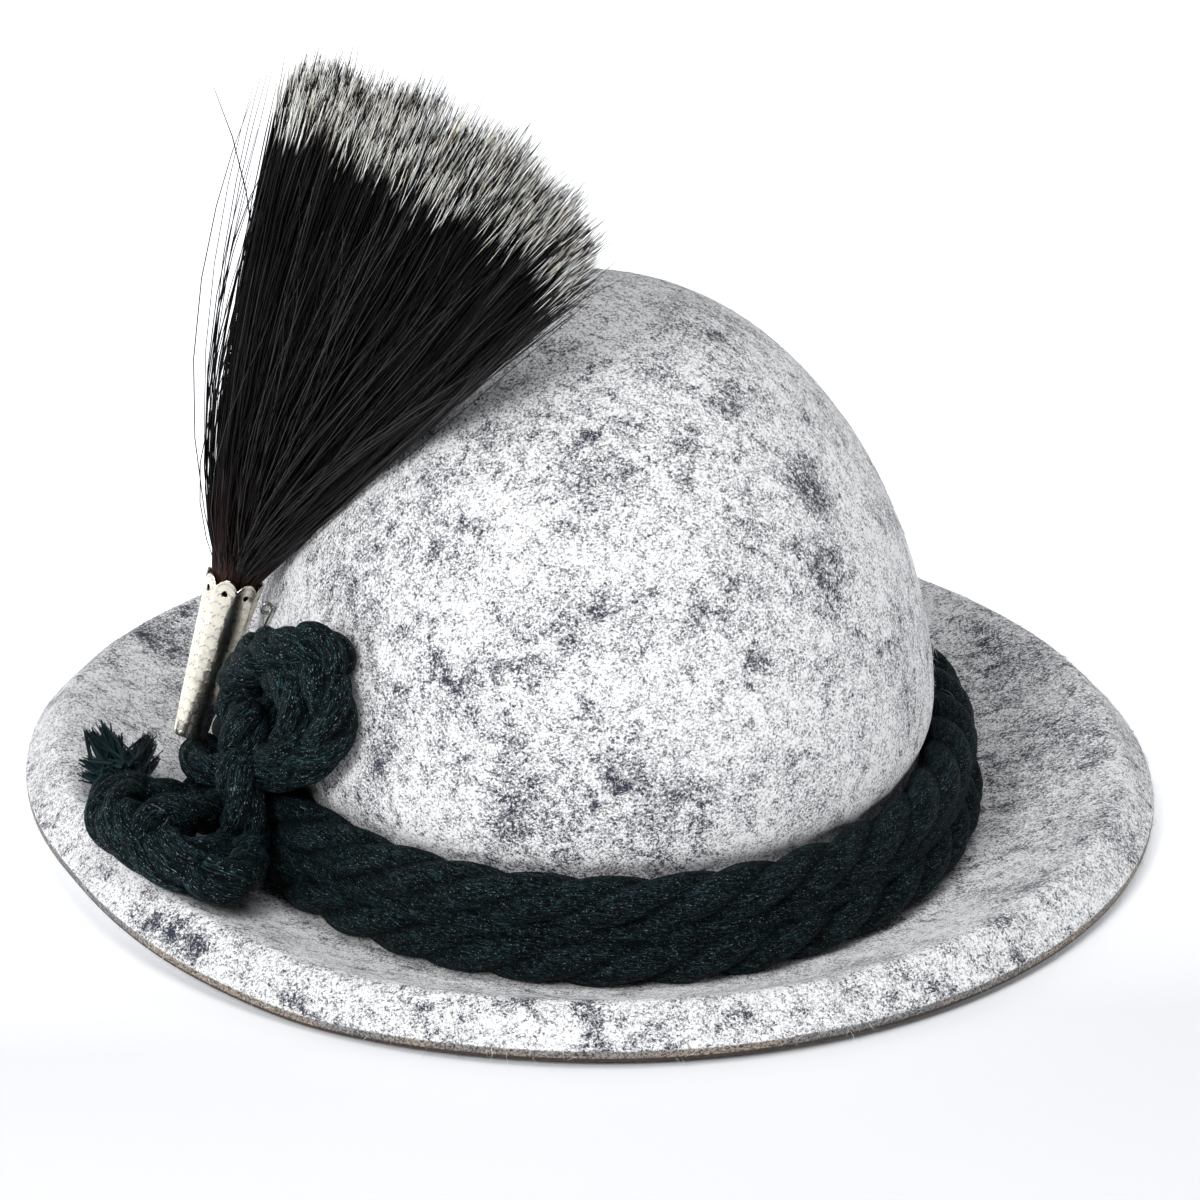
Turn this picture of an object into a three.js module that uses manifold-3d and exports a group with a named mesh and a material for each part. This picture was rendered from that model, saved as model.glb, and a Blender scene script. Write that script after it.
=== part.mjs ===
// A felt hat with a round crown, a bowl-shaped brim and a twisted cord band,
// with a knot, a frayed cord end and a hair brush in a metal sleeve at its side.
// Millimetres, +Z up, Y along the longer way of the head, origin under the middle of the brim.

import * as THREE from "three";
import { mergeVertices } from "three/addons/utils/BufferGeometryUtils.js";
import Module from "manifold-3d";

const wasm = await Module();
wasm.setup();

// Felt sizes
const feltThickness = 2.6;
const crownWidth = 170.8;
const crownLength = 212;
const crownHeight = 136.9;
const crownSetForward = 9.3;
const bandRecess = 3.9;
const footFillet = 5;
const brimWidth = 283.2;
const brimLength = 320.2;
const crestHeight = 13;
const lipReach = 9;
const lipDrop = 8;
const brimWave = 6;
const feltColumns = 40;

// Band sizes
const ropeDiameter = 13.6;
const ropePitch = 53.5;
const ropeLean = 1.6;
const strands = 3;
const gap = 0.35;

// Knot sizes, with angles round the crown from +X
const knotAngle = 207.6;
const knotAboveBand = 20.6;
const knotAcross = 32;
const knotTall = 27;
const knotRopeDiameter = 12;
const knotRopePitch = 42;
const knotStandOff = 8;
const knotSlant = 0.3;
const fallDiameter = 9;
const crossDiameter = 8;
const wrapAngle = 189;
const wrapDiameter = 8.6;
const wrapHeight = 14.6;
const tailDiameter = 19.6;
const tailPitch = 46;
const tasselReach = 26;
const tasselLockDiameter = 5;

// Sleeve, pin and brush sizes
const holderAngle = 186;
const holderHeight = 37.6;
const holderMouthDiameter = 14.6;
const holderFootDiameter = 8.4;
const holderDepthShare = 0.86;
const holderWall = 0.6;
const holderScallops = 8;
const scallopHeight = 1.5;
const holderHoleDiameter = 1.1;
const pinWire = 0.7;
const pinCoilDiameter = 3.4;
const pinLeg = 26;
const pinTurn = 3.6;
const brushLength = 150;
const brushInHolder = 37;
const brushLockDiameter = 21;

// Rows of the crown from the band up: height and width as shares of the dome
const crownRows = [
  { height: 0, width: 1 },
  { height: 0.13, width: 0.989 },
  { height: 0.27, width: 0.956 },
  { height: 0.41, width: 0.9 },
  { height: 0.55, width: 0.82 },
  { height: 0.68, width: 0.717 },
  { height: 0.79, width: 0.597 },
  { height: 0.88, width: 0.461 },
  { height: 0.95, width: 0.302 },
  { height: 0.987, width: 0.155 },
];

// Rows of the brim from its foot to its crest: way out, and rise as a share of the crest
const brimRows = [
  { out: 0.25, rise: 0 },
  { out: 0.42, rise: 0.12 },
  { out: 0.62, rise: 0.36 },
  { out: 0.8, rise: 0.67 },
  { out: 0.92, rise: 0.9 },
  { out: 1, rise: 1 },
];

// Rows of the lip outside the crest, as shares of its reach and drop
const lipRows = [
  { out: 0.3, drop: 0.14 },
  { out: 0.66, drop: 0.52 },
  { out: 1, drop: 1 },
];

// How the crest lifts or dips round the brim, as a share of its wave
const waveRows = [
  { angle: 0, lift: 0 },
  { angle: 135, lift: 0 },
  { angle: 150, lift: 0.35 },
  { angle: 168, lift: 0.85 },
  { angle: 185, lift: 0.9 },
  { angle: 200, lift: 1 },
  { angle: 216, lift: 0.35 },
  { angle: 235, lift: -0.15 },
  { angle: 255, lift: 0 },
  { angle: 360, lift: 0 },
];

// Derived sizes
const ropeRadius = ropeDiameter / 2;
const lowerRopeZ = feltThickness + gap + ropeRadius;
const ropeRise = Math.sqrt((0.985 * ropeDiameter) ** 2 - ropeLean ** 2);
const upperRopeZ = lowerRopeZ + ropeRise;
const bandTop = upperRopeZ + ropeRadius + gap;
const bandOut = gap + ropeDiameter + ropeLean;
const crownA = crownWidth / 2;
const crownB = crownLength / 2;
const footA = crownA - bandRecess;
const footB = crownB - bandRecess;
const crownY = -crownSetForward;
const crestA = brimWidth / 2 - lipReach;
const crestB = brimLength / 2 - lipReach;
const domeHeight = crownHeight - bandTop;

// Value of a table column at a place between its rows
function between(rows, key, value, at) {
  for (let i = 1; i < rows.length; i += 1) {
    if (at <= rows[i][key]) {
      const low = rows[i - 1];
      const share = (at - low[key]) / (rows[i][key] - low[key]);
      return low[value] + (rows[i][value] - low[value]) * share;
    }
  }
  return rows[rows.length - 1][value];
}

const radians = THREE.MathUtils.degToRad;

function turnOf(degrees) {
  return ((degrees % 360) + 360) % 360;
}

// Outward direction of an oval at an angle, level with the ground
function outwardAt(degrees, halfX, halfY) {
  const t = radians(degrees);
  return new THREE.Vector3(halfY * Math.cos(t), halfX * Math.sin(t), 0).normalize();
}

// A point beside the recessed wall, at a height and a distance out from it
function besideBand(degrees, z, out) {
  const t = radians(degrees);
  const point = new THREE.Vector3(footA * Math.cos(t), crownY + footB * Math.sin(t), z);
  return point.addScaledVector(outwardAt(degrees, footA, footB), out);
}

// Width share of the dome at a height
function domeShare(z) {
  const share = THREE.MathUtils.clamp((z - bandTop) / domeHeight, 0, 0.98);
  return between(crownRows, "height", "width", share);
}

function onDome(degrees, z) {
  const t = radians(degrees);
  const share = domeShare(z);
  return new THREE.Vector3(crownA * share * Math.cos(t), crownY + crownB * share * Math.sin(t), z);
}

function domeNormal(degrees, z) {
  const along = onDome(degrees + 1, z).sub(onDome(degrees - 1, z));
  const up = onDome(degrees, z + 2).sub(onDome(degrees, z - 2));
  return along.cross(up).normalize();
}

// A point off the dome, at a height on it and a distance out from it
function besideDome(degrees, z, out) {
  return onDome(degrees, z).addScaledVector(domeNormal(degrees, z), out);
}

// A point of the brim's top side, at a share of the way from foot to crest
function onBrim(degrees, share) {
  const t = radians(degrees);
  const foot = new THREE.Vector3(footA * Math.cos(t), crownY + footB * Math.sin(t), 0);
  const crest = new THREE.Vector3(crestA * Math.cos(t), crestB * Math.sin(t), 0);
  const point = foot.lerp(crest, share);
  const rows = [{ out: 0, rise: 0 }, ...brimRows];
  const lift = between(waveRows, "angle", "lift", turnOf(degrees)) * brimWave;
  const rise = between(rows, "out", "rise", share);
  point.z = feltThickness + (crestHeight - feltThickness) * rise;
  point.z += lift * THREE.MathUtils.smoothstep(share, 0.25, 1);
  return point;
}

function brimNormal(degrees, share) {
  const along = onBrim(degrees + 1, share).sub(onBrim(degrees - 1, share));
  const out = onBrim(degrees, share + 0.04).sub(onBrim(degrees, share - 0.04));
  return out.cross(along).normalize();
}

function aboveBrim(degrees, share, up) {
  return onBrim(degrees, share).addScaledVector(brimNormal(degrees, share), up);
}

// Closed geometry from rings of points, each ring as long as the next
function skinRings(rings, startTip, endTip) {
  const points = [];
  const faces = [];
  const count = rings[0].length;
  rings.forEach((ring) => ring.forEach((p) => points.push(p.x, p.y, p.z)));
  for (let r = 1; r < rings.length; r += 1) {
    for (let i = 0; i < count; i += 1) {
      const a = (r - 1) * count + i;
      const b = (r - 1) * count + ((i + 1) % count);
      const c = r * count + i;
      const d = r * count + ((i + 1) % count);
      faces.push(a, b, d, a, d, c);
    }
  }
  const tips = [
    [startTip, 0, false],
    [endTip, (rings.length - 1) * count, true],
  ];
  for (const [tip, first, last] of tips) {
    const top = points.length / 3;
    points.push(tip.x, tip.y, tip.z);
    for (let i = 0; i < count; i += 1) {
      const a = first + i;
      const b = first + ((i + 1) % count);
      faces.push(...(last ? [a, b, top] : [b, a, top]));
    }
  }
  const geometry = new THREE.BufferGeometry();
  geometry.setAttribute("position", new THREE.Float32BufferAttribute(points, 3));
  geometry.setIndex(faces);
  return geometry;
}

// Closed ring of sections, the last joined to the first with its points shifted
function skinLoop(rings, shift) {
  const points = [];
  const faces = [];
  const count = rings[0].length;
  rings.forEach((ring) => ring.forEach((p) => points.push(p.x, p.y, p.z)));
  for (let r = 0; r < rings.length; r += 1) {
    const next = (r + 1) % rings.length;
    const move = next === 0 ? shift : 0;
    for (let i = 0; i < count; i += 1) {
      const a = r * count + i;
      const b = r * count + ((i + 1) % count);
      const c = next * count + ((i + move) % count);
      const d = next * count + ((i + 1 + move) % count);
      faces.push(a, b, d, a, d, c);
    }
  }
  const geometry = new THREE.BufferGeometry();
  geometry.setAttribute("position", new THREE.Float32BufferAttribute(points, 3));
  geometry.setIndex(faces);
  return geometry;
}

function solidFrom(geometry) {
  const plain = geometry.clone();
  plain.deleteAttribute("normal");
  plain.deleteAttribute("uv");
  const merged = mergeVertices(plain, 1e-4);
  const mesh = new wasm.Mesh({
    numProp: 3,
    vertProperties: new Float32Array(merged.attributes.position.array),
    triVerts: new Uint32Array(merged.index.array),
  });
  const solid = new wasm.Manifold(mesh);
  if (solid.volume() <= 0) {
    throw new Error("a piece is inside out");
  }
  return solid;
}

function geometryFrom(solid) {
  const mesh = solid.getMesh();
  const geometry = new THREE.BufferGeometry();
  const stride = mesh.numProp;
  const count = mesh.vertProperties.length / stride;
  const points = new Float32Array(count * 3);
  for (let i = 0; i < count; i += 1) {
    for (let k = 0; k < 3; k += 1) {
      points[i * 3 + k] = mesh.vertProperties[i * stride + k];
    }
  }
  geometry.setAttribute("position", new THREE.BufferAttribute(points, 3));
  geometry.setIndex(Array.from(mesh.triVerts));
  return geometry;
}

function fuse(geometries) {
  let whole = solidFrom(geometries[0]);
  for (const geometry of geometries.slice(1)) {
    whole = whole.add(solidFrom(geometry));
  }
  return geometryFrom(whole);
}

// Felt body: one sheet from the crown's top to the brim's cut edge, offset to its thickness
function feltRing(place) {
  const ring = [];
  for (let i = 0; i < feltColumns; i += 1) {
    ring.push(place((i * 360) / feltColumns));
  }
  return ring;
}

function feltGeometry() {
  const upright = [];
  const rings = [];
  const add = (place, flat = false) => {
    rings.push(feltRing(place));
    upright.push(flat);
  };
  for (const row of [...crownRows].reverse()) {
    const z = bandTop + row.height * domeHeight;
    add((degrees) => {
      const t = radians(degrees);
      const x = crownA * row.width * Math.cos(t);
      return new THREE.Vector3(x, crownY + crownB * row.width * Math.sin(t), z);
    });
  }
  add((degrees) => besideBand(degrees, bandTop - 0.37 * ropeRadius, 0));
  add((degrees) => besideBand(degrees, feltThickness + footFillet, 0));
  add((degrees) => besideBand(degrees, feltThickness + 0.3 * footFillet, 0.3 * footFillet));
  add((degrees) => besideBand(degrees, feltThickness, footFillet), true);
  for (const row of brimRows) {
    add((degrees) => onBrim(degrees, row.out), row.rise === 0);
  }
  for (const row of lipRows) {
    add((degrees) => {
      const point = onBrim(degrees, 1);
      const t = radians(degrees);
      point.x = (crestA + lipReach * row.out) * Math.cos(t);
      point.y = (crestB + lipReach * row.out) * Math.sin(t);
      point.z -= lipDrop * row.drop;
      return point;
    });
  }
  const inner = rings.map((ring, r) =>
    ring.map((point, i) => {
      if (upright[r]) {
        return new THREE.Vector3(point.x, point.y, point.z - feltThickness);
      }
      const before = rings[Math.max(r - 1, 0)][i];
      const after = rings[Math.min(r + 1, rings.length - 1)][i];
      const left = ring[(i + feltColumns - 1) % feltColumns];
      const right = ring[(i + 1) % feltColumns];
      const down = after.clone().sub(before);
      const along = right.clone().sub(left);
      const normal = down.cross(along).normalize();
      return point.clone().addScaledVector(normal, -feltThickness);
    }),
  );
  const apex = new THREE.Vector3(0, crownY, crownHeight);
  const innerApex = new THREE.Vector3(0, crownY, crownHeight - feltThickness);
  return skinRings([...inner, ...rings.reverse()], innerApex, apex);
}

// Section of a twisted rope: each strand has two shoulders, with a groove between strands
const grooveShare = 0.62;
const shoulderDegrees = 22;
function ropeSection(radius, turn) {
  const section = [];
  for (let k = 0; k < strands; k += 1) {
    const middle = turn + (k * 360) / strands;
    section.push([middle - 180 / strands, radius * grooveShare]);
    section.push([middle - shoulderDegrees, radius * 0.985]);
    section.push([middle + shoulderDegrees, radius * 0.985]);
  }
  return section;
}

// Sections of a rope along a path: each step has a point, an outward direction and a radius
function ropeRings(steps, closed, turnPerStep, startTurn) {
  return steps.map((step, i) => {
    const last = steps.length - 1;
    const before = closed ? steps[(i + last) % steps.length] : steps[Math.max(i - 1, 0)];
    const after = closed ? steps[(i + 1) % steps.length] : steps[Math.min(i + 1, last)];
    const tangent = after.point.clone().sub(before.point).normalize();
    const out = step.out.clone();
    out.addScaledVector(tangent, -out.dot(tangent)).normalize();
    const side = tangent.clone().cross(out).normalize();
    const section = ropeSection(step.radius, startTurn - i * turnPerStep);
    return section.map(([degrees, radius]) => {
      const angle = radians(degrees);
      const point = step.point.clone();
      point.addScaledVector(out, radius * Math.cos(angle));
      return point.addScaledVector(side, radius * Math.sin(angle));
    });
  });
}

// Open rope with rounded ends along chosen points
function ropeAlong(points, outs, diameter, pitch, count) {
  const curve = new THREE.CatmullRomCurve3(points, false, "centripetal");
  const outCurve = new THREE.CatmullRomCurve3(outs, false, "centripetal");
  const radius = diameter / 2;
  const length = curve.getLength();
  const steps = [];
  for (let i = 0; i <= count; i += 1) {
    const share = i / count;
    const fromEnd = Math.min(share, 1 - share) * length;
    const roundness = Math.sqrt(Math.min(1, 0.2 + (0.8 * fromEnd) / (radius * 0.8)));
    steps.push({
      point: curve.getPointAt(share),
      out: outCurve.getPoint(curve.getUtoTmapping(share)).normalize(),
      radius: radius * roundness,
    });
  }
  const rings = ropeRings(steps, false, (360 * length) / count / pitch, 0);
  const start = steps[0].point;
  const end = steps[count].point;
  return skinRings(rings, start, end);
}

// Band: two closed ropes, one above the other, with their strands in step
function bandSteps(z, out, lobeCount, stepsPerLobe) {
  const fine = [];
  let length = 0;
  const fineCount = 720;
  let last = besideBand(0, z, out);
  fine.push(0);
  for (let i = 1; i <= fineCount; i += 1) {
    const next = besideBand((i * 360) / fineCount, z, out);
    length += next.distanceTo(last);
    fine.push(length);
    last = next;
  }
  const count = lobeCount * stepsPerLobe;
  const steps = [];
  let at = 0;
  for (let i = 0; i < count; i += 1) {
    const wanted = (i / count) * length;
    while (fine[at + 1] < wanted) {
      at += 1;
    }
    const share = (wanted - fine[at]) / (fine[at + 1] - fine[at]);
    const degrees = ((at + share) * 360) / fineCount;
    steps.push({
      point: besideBand(degrees, z, out),
      out: outwardAt(degrees, footA, footB),
      radius: ropeRadius,
    });
  }
  return { steps, length };
}

const stepsPerLobe = 3;
const lowerOut = gap + ropeRadius + ropeLean;
const upperOut = gap + ropeRadius;
const bandLength = bandSteps(lowerRopeZ, lowerOut, 1, 1).length;
const lobesRound = Math.round((strands * bandLength) / ropePitch);

function bandRope(z, out) {
  const { steps } = bandSteps(z, out, lobesRound, stepsPerLobe);
  const turn = 360 / strands / stepsPerLobe;
  const rings = ropeRings(steps, true, turn, 0);
  const pointsPerStrand = rings[0].length / strands;
  const shift = (pointsPerStrand * (lobesRound % strands)) % rings[0].length;
  return skinLoop(rings, shift);
}

// Knot: a loop of rope on the dome, a strand over its top and one that falls to the brim
const knotZ = bandTop + knotAboveBand;
const knotRadius = knotRopeDiameter / 2;
const knotArc = crownLength / 2;

function knotPlace(across, up, out) {
  const degrees = knotAngle + THREE.MathUtils.radToDeg(across / knotArc);
  return {
    point: besideDome(degrees, knotZ + up, out),
    out: domeNormal(degrees, knotZ + up),
  };
}

function knotLoop() {
  const lobes = Math.round((strands * Math.PI * (knotAcross + knotTall)) / 2 / knotRopePitch);
  const count = lobes * 4;
  const steps = [];
  for (let i = 0; i < count; i += 1) {
    const angle = (i / count) * 2 * Math.PI;
    const across = (knotAcross / 2) * Math.cos(angle);
    const up = (knotTall / 2) * Math.sin(angle) + knotSlant * across;
    const stand = (knotStandOff * (1 - Math.cos(angle))) / 2;
    const place = knotPlace(across, up, gap + knotRadius * 1.03 + stand);
    steps.push({ ...place, radius: knotRadius });
  }
  const rings = ropeRings(steps, true, 360 / strands / 4, 0);
  const pointsPerStrand = rings[0].length / strands;
  return skinLoop(rings, (pointsPerStrand * (lobes % strands)) % rings[0].length);
}

// Places of the crossing strand: across, up and out as shares of the knot's sizes
const crossRows = [
  { across: -0.12, up: 0.1, out: 0.5 },
  { across: 0.05, up: 0.3, out: 1.05 },
  { across: 0.2, up: 0.5, out: 1.25 },
  { across: 0.32, up: 0.72, out: 0.95 },
  { across: 0.34, up: 0.8, out: 0.62 },
];

function knotCross() {
  const places = crossRows.map((row) =>
    knotPlace(row.across * knotAcross, row.up * knotTall, row.out * knotRopeDiameter),
  );
  const points = places.map((place) => place.point);
  const outs = places.map((place) => place.out);
  return ropeAlong(points, outs, crossDiameter, knotRopePitch * 0.7, 8);
}

// Places of the falling strand: turn from the knot, height as a share of the knot's, and out
const fallRows = [
  { turn: -6, height: 1.24, out: 1 },
  { turn: -11, height: 1.02, out: 1.25 },
  { turn: -13, height: 0.8, out: 1.3 },
];
const fallLow = [
  { turn: -10, height: 1.02, out: 0.4 },
  { turn: -3.5, height: 0.86, out: 0.42 },
  { turn: 0.5, height: 0.87, out: 0.44 },
];

function knotFall() {
  const points = [];
  const outs = [];
  for (const row of fallRows) {
    const degrees = knotAngle + row.turn;
    points.push(besideDome(degrees, knotZ * row.height, row.out * knotRopeDiameter));
    outs.push(domeNormal(degrees, knotZ * row.height));
  }
  for (const row of fallLow) {
    const degrees = knotAngle + row.turn;
    const out = bandOut + gap + fallDiameter / 2 + (row.out - 0.34) * fallDiameter;
    points.push(besideBand(degrees, bandTop * row.height, out));
    outs.push(outwardAt(degrees, footA, footB));
  }
  return ropeAlong(points, outs, fallDiameter, knotRopePitch * 0.8, 16);
}

// Wrap: a short strand over both ropes, under the sleeve's foot
const wrapOut = bandOut - 2 + (wrapDiameter / 2) * 1.03;
const wrapLow = lowerRopeZ + 1.6;
function wrapGeometry() {
  const points = [0, 0.5, 1].map((share) =>
    besideBand(wrapAngle, wrapLow + wrapHeight * share, wrapOut),
  );
  const out = outwardAt(wrapAngle, footA, footB);
  return ropeAlong(points, [out, out.clone(), out.clone()], wrapDiameter, wrapDiameter * 3, 8);
}

// Tail: a thick plait on the brim, from below the falling strand to near the crest
const tailRows = [
  { angle: 213, out: 0.52 },
  { angle: 212.5, out: 0.66 },
  { angle: 211.5, out: 0.8 },
  { angle: 209, out: 0.92 },
  { angle: 204.5, out: 1 },
  { angle: 200, out: 0.97 },
  { angle: 195.4, out: 0.86 },
];
const tailUp = tailDiameter / 2 + gap;

function tailGeometry() {
  const points = tailRows.map((row) => aboveBrim(row.angle, row.out, tailUp));
  const outs = tailRows.map((row) => brimNormal(row.angle, row.out));
  return ropeAlong(points, outs, tailDiameter, tailPitch, 16);
}

// Tassel: yarn ends in locks, fused to a short head
const tasselRows = [
  { angle: 186.5, out: 1, up: 0.55, reach: 0.8 },
  { angle: 183, out: 0.93, up: 0.75, reach: 1 },
  { angle: 181, out: 0.86, up: 0.8, reach: 1.05 },
  { angle: 180.5, out: 0.78, up: 0.75, reach: 1 },
  { angle: 180, out: 0.7, up: 0.65, reach: 0.95 },
  { angle: 180, out: 0.62, up: 0.5, reach: 0.95 },
];
const tasselRoot = { angle: 193, out: 0.8 };

function taper(start, end, startRadius, endRadius, sides, bulge) {
  const axis = end.clone().sub(start).normalize();
  const helper = Math.abs(axis.z) > 0.9 ? new THREE.Vector3(1, 0, 0) : new THREE.Vector3(0, 0, 1);
  const side = helper.cross(axis).normalize();
  const other = axis.clone().cross(side);
  const rings = [0, 0.3, 0.7, 0.92].map((share) => {
    const centre = start.clone().lerp(end, share);
    let radius = startRadius + (endRadius - startRadius) * share;
    radius += bulge * Math.sin(Math.PI * share);
    const ring = [];
    for (let i = 0; i < sides; i += 1) {
      const angle = (i / sides) * 2 * Math.PI;
      const point = centre.clone().addScaledVector(side, radius * Math.cos(angle));
      ring.push(point.addScaledVector(other, radius * Math.sin(angle)));
    }
    return ring;
  });
  return skinRings(rings, start, end);
}

function tasselGeometry() {
  const up = tasselLockDiameter * 1.15 + gap;
  const root = aboveBrim(tasselRoot.angle, tasselRoot.out, up);
  const pieces = tasselRows.map((row) => {
    const aim = aboveBrim(row.angle, row.out, up + row.up * tasselLockDiameter);
    const direction = aim.sub(root).normalize();
    const tip = root.clone().addScaledVector(direction, tasselReach * row.reach);
    const start = root.clone().addScaledVector(direction, -tasselLockDiameter * 0.2);
    const radius = tasselLockDiameter / 2;
    return taper(start, tip, radius * 1.15, radius * 0.5, 5, radius * 0.25);
  });
  const head = new THREE.IcosahedronGeometry(tasselLockDiameter * 1.1, 1);
  head.translate(root.x, root.y, root.z);
  return fuse([head, ...pieces]);
}

// Sleeve: a tapering tube with a scalloped mouth and a hole in each scallop
const holderFootRadius = holderFootDiameter / 2;
const holderMouthRadius = holderMouthDiameter / 2;
const holderFootZ = wrapLow + wrapHeight + gap + 0.2;
const holderFoot = besideBand(
  holderAngle,
  holderFootZ,
  bandOut + gap + holderFootRadius * 1.04,
);
const holderMouth = besideDome(
  holderAngle,
  holderFootZ + holderHeight,
  holderMouthRadius + gap + pinCoilDiameter * 0.75,
);
const holderAxis = holderMouth.clone().sub(holderFoot);
const holderLength = holderAxis.length();
holderAxis.normalize();
const holderAcross = outwardAt(holderAngle, crownA, crownB);
holderAcross.addScaledVector(holderAxis, -holderAcross.dot(holderAxis)).normalize();
const holderSide = holderAxis.clone().cross(holderAcross).normalize();

function holderPoint(degrees, along, inset) {
  const share = along / holderLength;
  const radius = holderFootRadius + (holderMouthRadius - holderFootRadius) * share - inset;
  const depth = (holderFootRadius + (holderMouthRadius - holderFootRadius) * share);
  const angle = radians(degrees);
  const point = holderFoot.clone().addScaledVector(holderAxis, along);
  point.addScaledVector(holderAcross, radius * Math.cos(angle));
  return point.addScaledVector(holderSide, (depth * holderDepthShare - inset) * Math.sin(angle));
}

function holderGeometry() {
  const sides = holderScallops * 4;
  const mouthAt = (i) => {
    const wave = Math.abs(Math.sin((Math.PI * i) / 4));
    return holderLength - scallopHeight * (1 - wave);
  };
  const ringAt = (along, inset) => {
    const ring = [];
    for (let i = 0; i < sides; i += 1) {
      ring.push(holderPoint((i * 360) / sides, along(i), inset));
    }
    return ring;
  };
  const rings = [
    ringAt(() => 0, 0),
    ringAt(mouthAt, 0),
    ringAt(mouthAt, holderWall),
    ringAt(() => 0, holderWall),
  ];
  let sleeve = solidFrom(skinLoop(rings, 0));
  for (let k = 0; k < holderScallops; k += 1) {
    const degrees = ((k + 0.5) * 360) / holderScallops;
    const along = holderLength - scallopHeight * 1.5;
    const outer = holderPoint(degrees, along, -1);
    const inner = holderPoint(degrees, along, holderWall + 1);
    const hole = new THREE.CylinderGeometry(
      holderHoleDiameter / 2,
      holderHoleDiameter / 2,
      outer.distanceTo(inner),
      6,
    );
    const direction = outer.clone().sub(inner).normalize();
    const turn = new THREE.Quaternion();
    turn.setFromUnitVectors(new THREE.Vector3(0, 1, 0), direction);
    hole.applyQuaternion(turn);
    const middle = outer.clone().add(inner).multiplyScalar(0.5);
    hole.translate(middle.x, middle.y, middle.z);
    sleeve = sleeve.subtract(solidFrom(hole));
  }
  return geometryFrom(sleeve);
}

// Pin: a coil beside the sleeve's mouth and a leg that runs down behind the sleeve
function pinGeometry() {
  const coilRadius = (pinCoilDiameter - pinWire) / 2;
  const wireOut = gap + pinWire * 0.6;
  const coilZ = holderMouth.z - 4.2;
  const coilAngle = holderAngle + pinTurn;
  const middle = besideDome(coilAngle, coilZ, wireOut + coilRadius);
  const across = outwardAt(holderAngle, crownA, crownB);
  const away = new THREE.Vector3(-across.y, across.x, 0).negate();
  const points = [];
  const turns = 2;
  const perTurn = 10;
  for (let i = 0; i <= turns * perTurn; i += 1) {
    const angle = (i / perTurn) * 2 * Math.PI + Math.PI;
    const point = middle.clone().addScaledVector(across, coilRadius * Math.cos(angle));
    point.z += coilRadius * Math.sin(angle);
    point.addScaledVector(away, -(i / perTurn) * pinWire * 1.25);
    points.push(point);
  }
  for (const share of [0.25, 0.5, 0.75, 1]) {
    const z = coilZ - pinLeg * share;
    const low = z < bandTop + 2;
    const degrees = holderAngle + pinTurn * (1 - share) * 0.6;
    points.push(low ? besideDome(degrees, bandTop + 2, wireOut) : besideDome(degrees, z, wireOut));
  }
  const radius = pinWire / 2;
  const rings = points.map((point, i) => {
    const before = points[Math.max(i - 1, 0)];
    const after = points[Math.min(i + 1, points.length - 1)];
    const tangent = after.clone().sub(before).normalize();
    const side = away.clone().addScaledVector(tangent, -away.dot(tangent)).normalize();
    const other = tangent.clone().cross(side);
    const ring = [];
    for (let k = 0; k < 5; k += 1) {
      const angle = (k / 5) * 2 * Math.PI;
      const corner = point.clone().addScaledVector(side, radius * Math.cos(angle));
      ring.push(corner.addScaledVector(other, radius * Math.sin(angle)));
    }
    return ring;
  });
  return skinRings(rings, points[0], points[points.length - 1]);
}

// Brush: locks of hair that fan out of the sleeve, in two layers
// Lean from upright in degrees; front, reach and bow as shares of the brush's length
const lockRows = [
  { lean: 8.2, front: 0.27, reach: 1, bow: 0 },
  { lean: 17, front: 0.29, reach: 1.01, bow: 0.04 },
  { lean: 25, front: 0.32, reach: 1, bow: 0.08 },
  { lean: 31.5, front: 0.35, reach: 0.98, bow: 0.14 },
  { lean: 37.5, front: 0.4, reach: 0.94, bow: 0.2 },
  { lean: 11, front: 0.17, reach: 0.97, bow: 0.03 },
  { lean: 19, front: 0.21, reach: 0.98, bow: 0.07 },
  { lean: 26, front: 0.26, reach: 0.97, bow: 0.12 },
];

function lockGeometry(row) {
  const root = holderFoot.clone().addScaledVector(holderAxis, holderLength - 6);
  const rise = Math.cos(radians(row.lean));
  const sweep = Math.sin(radians(row.lean));
  const level = Math.sqrt(1 - row.front * row.front);
  const direction = new THREE.Vector3(sweep * level, -row.front, rise * level);
  const tip = holderMouth.clone().addScaledVector(direction, brushLength * row.reach);
  const neckRadius = holderFootRadius * 0.72;
  const lock = brushLockDiameter / 2;
  const shares = [
    { along: 0, radius: neckRadius / lock },
    { along: 0.16, radius: 0.5 },
    { along: 0.45, radius: 0.7 },
    { along: 0.78, radius: 1 },
    { along: 0.97, radius: 0.8 },
  ];
  const aside = new THREE.Vector3(rise, 0, -sweep);
  const toFront = direction.clone().cross(aside).normalize();
  const bend = holderMouth.clone();
  const path = new THREE.QuadraticBezierCurve3(
    bend,
    bend.clone().lerp(tip, 0.5).addScaledVector(holderAxis, brushLength * row.bow),
    tip,
  );
  const rings = shares.map((share) => {
    const centre = path.getPoint(share.along);
    const ring = [];
    for (let k = 0; k < 6; k += 1) {
      const angle = (k / 6) * 2 * Math.PI;
      const radius = share.radius * lock;
      const point = centre.clone().addScaledVector(aside, radius * Math.cos(angle));
      ring.push(point.addScaledVector(toFront, radius * Math.sin(angle)));
    }
    return ring;
  });
  return skinRings(rings, root, tip);
}

function stemGeometry() {
  const ringAt = (along, spread) => {
    const ring = [];
    for (let i = 0; i < 12; i += 1) {
      ring.push(holderPoint(i * 30, along, holderWall + gap + spread));
    }
    return ring;
  };
  const low = holderLength - brushInHolder;
  const high = holderLength + 2;
  const start = holderFoot.clone().addScaledVector(holderAxis, low);
  const end = holderFoot.clone().addScaledVector(holderAxis, high);
  return skinRings([ringAt(low, 0), ringAt(holderLength, 0), ringAt(high, 0.6)], start, end);
}

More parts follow.
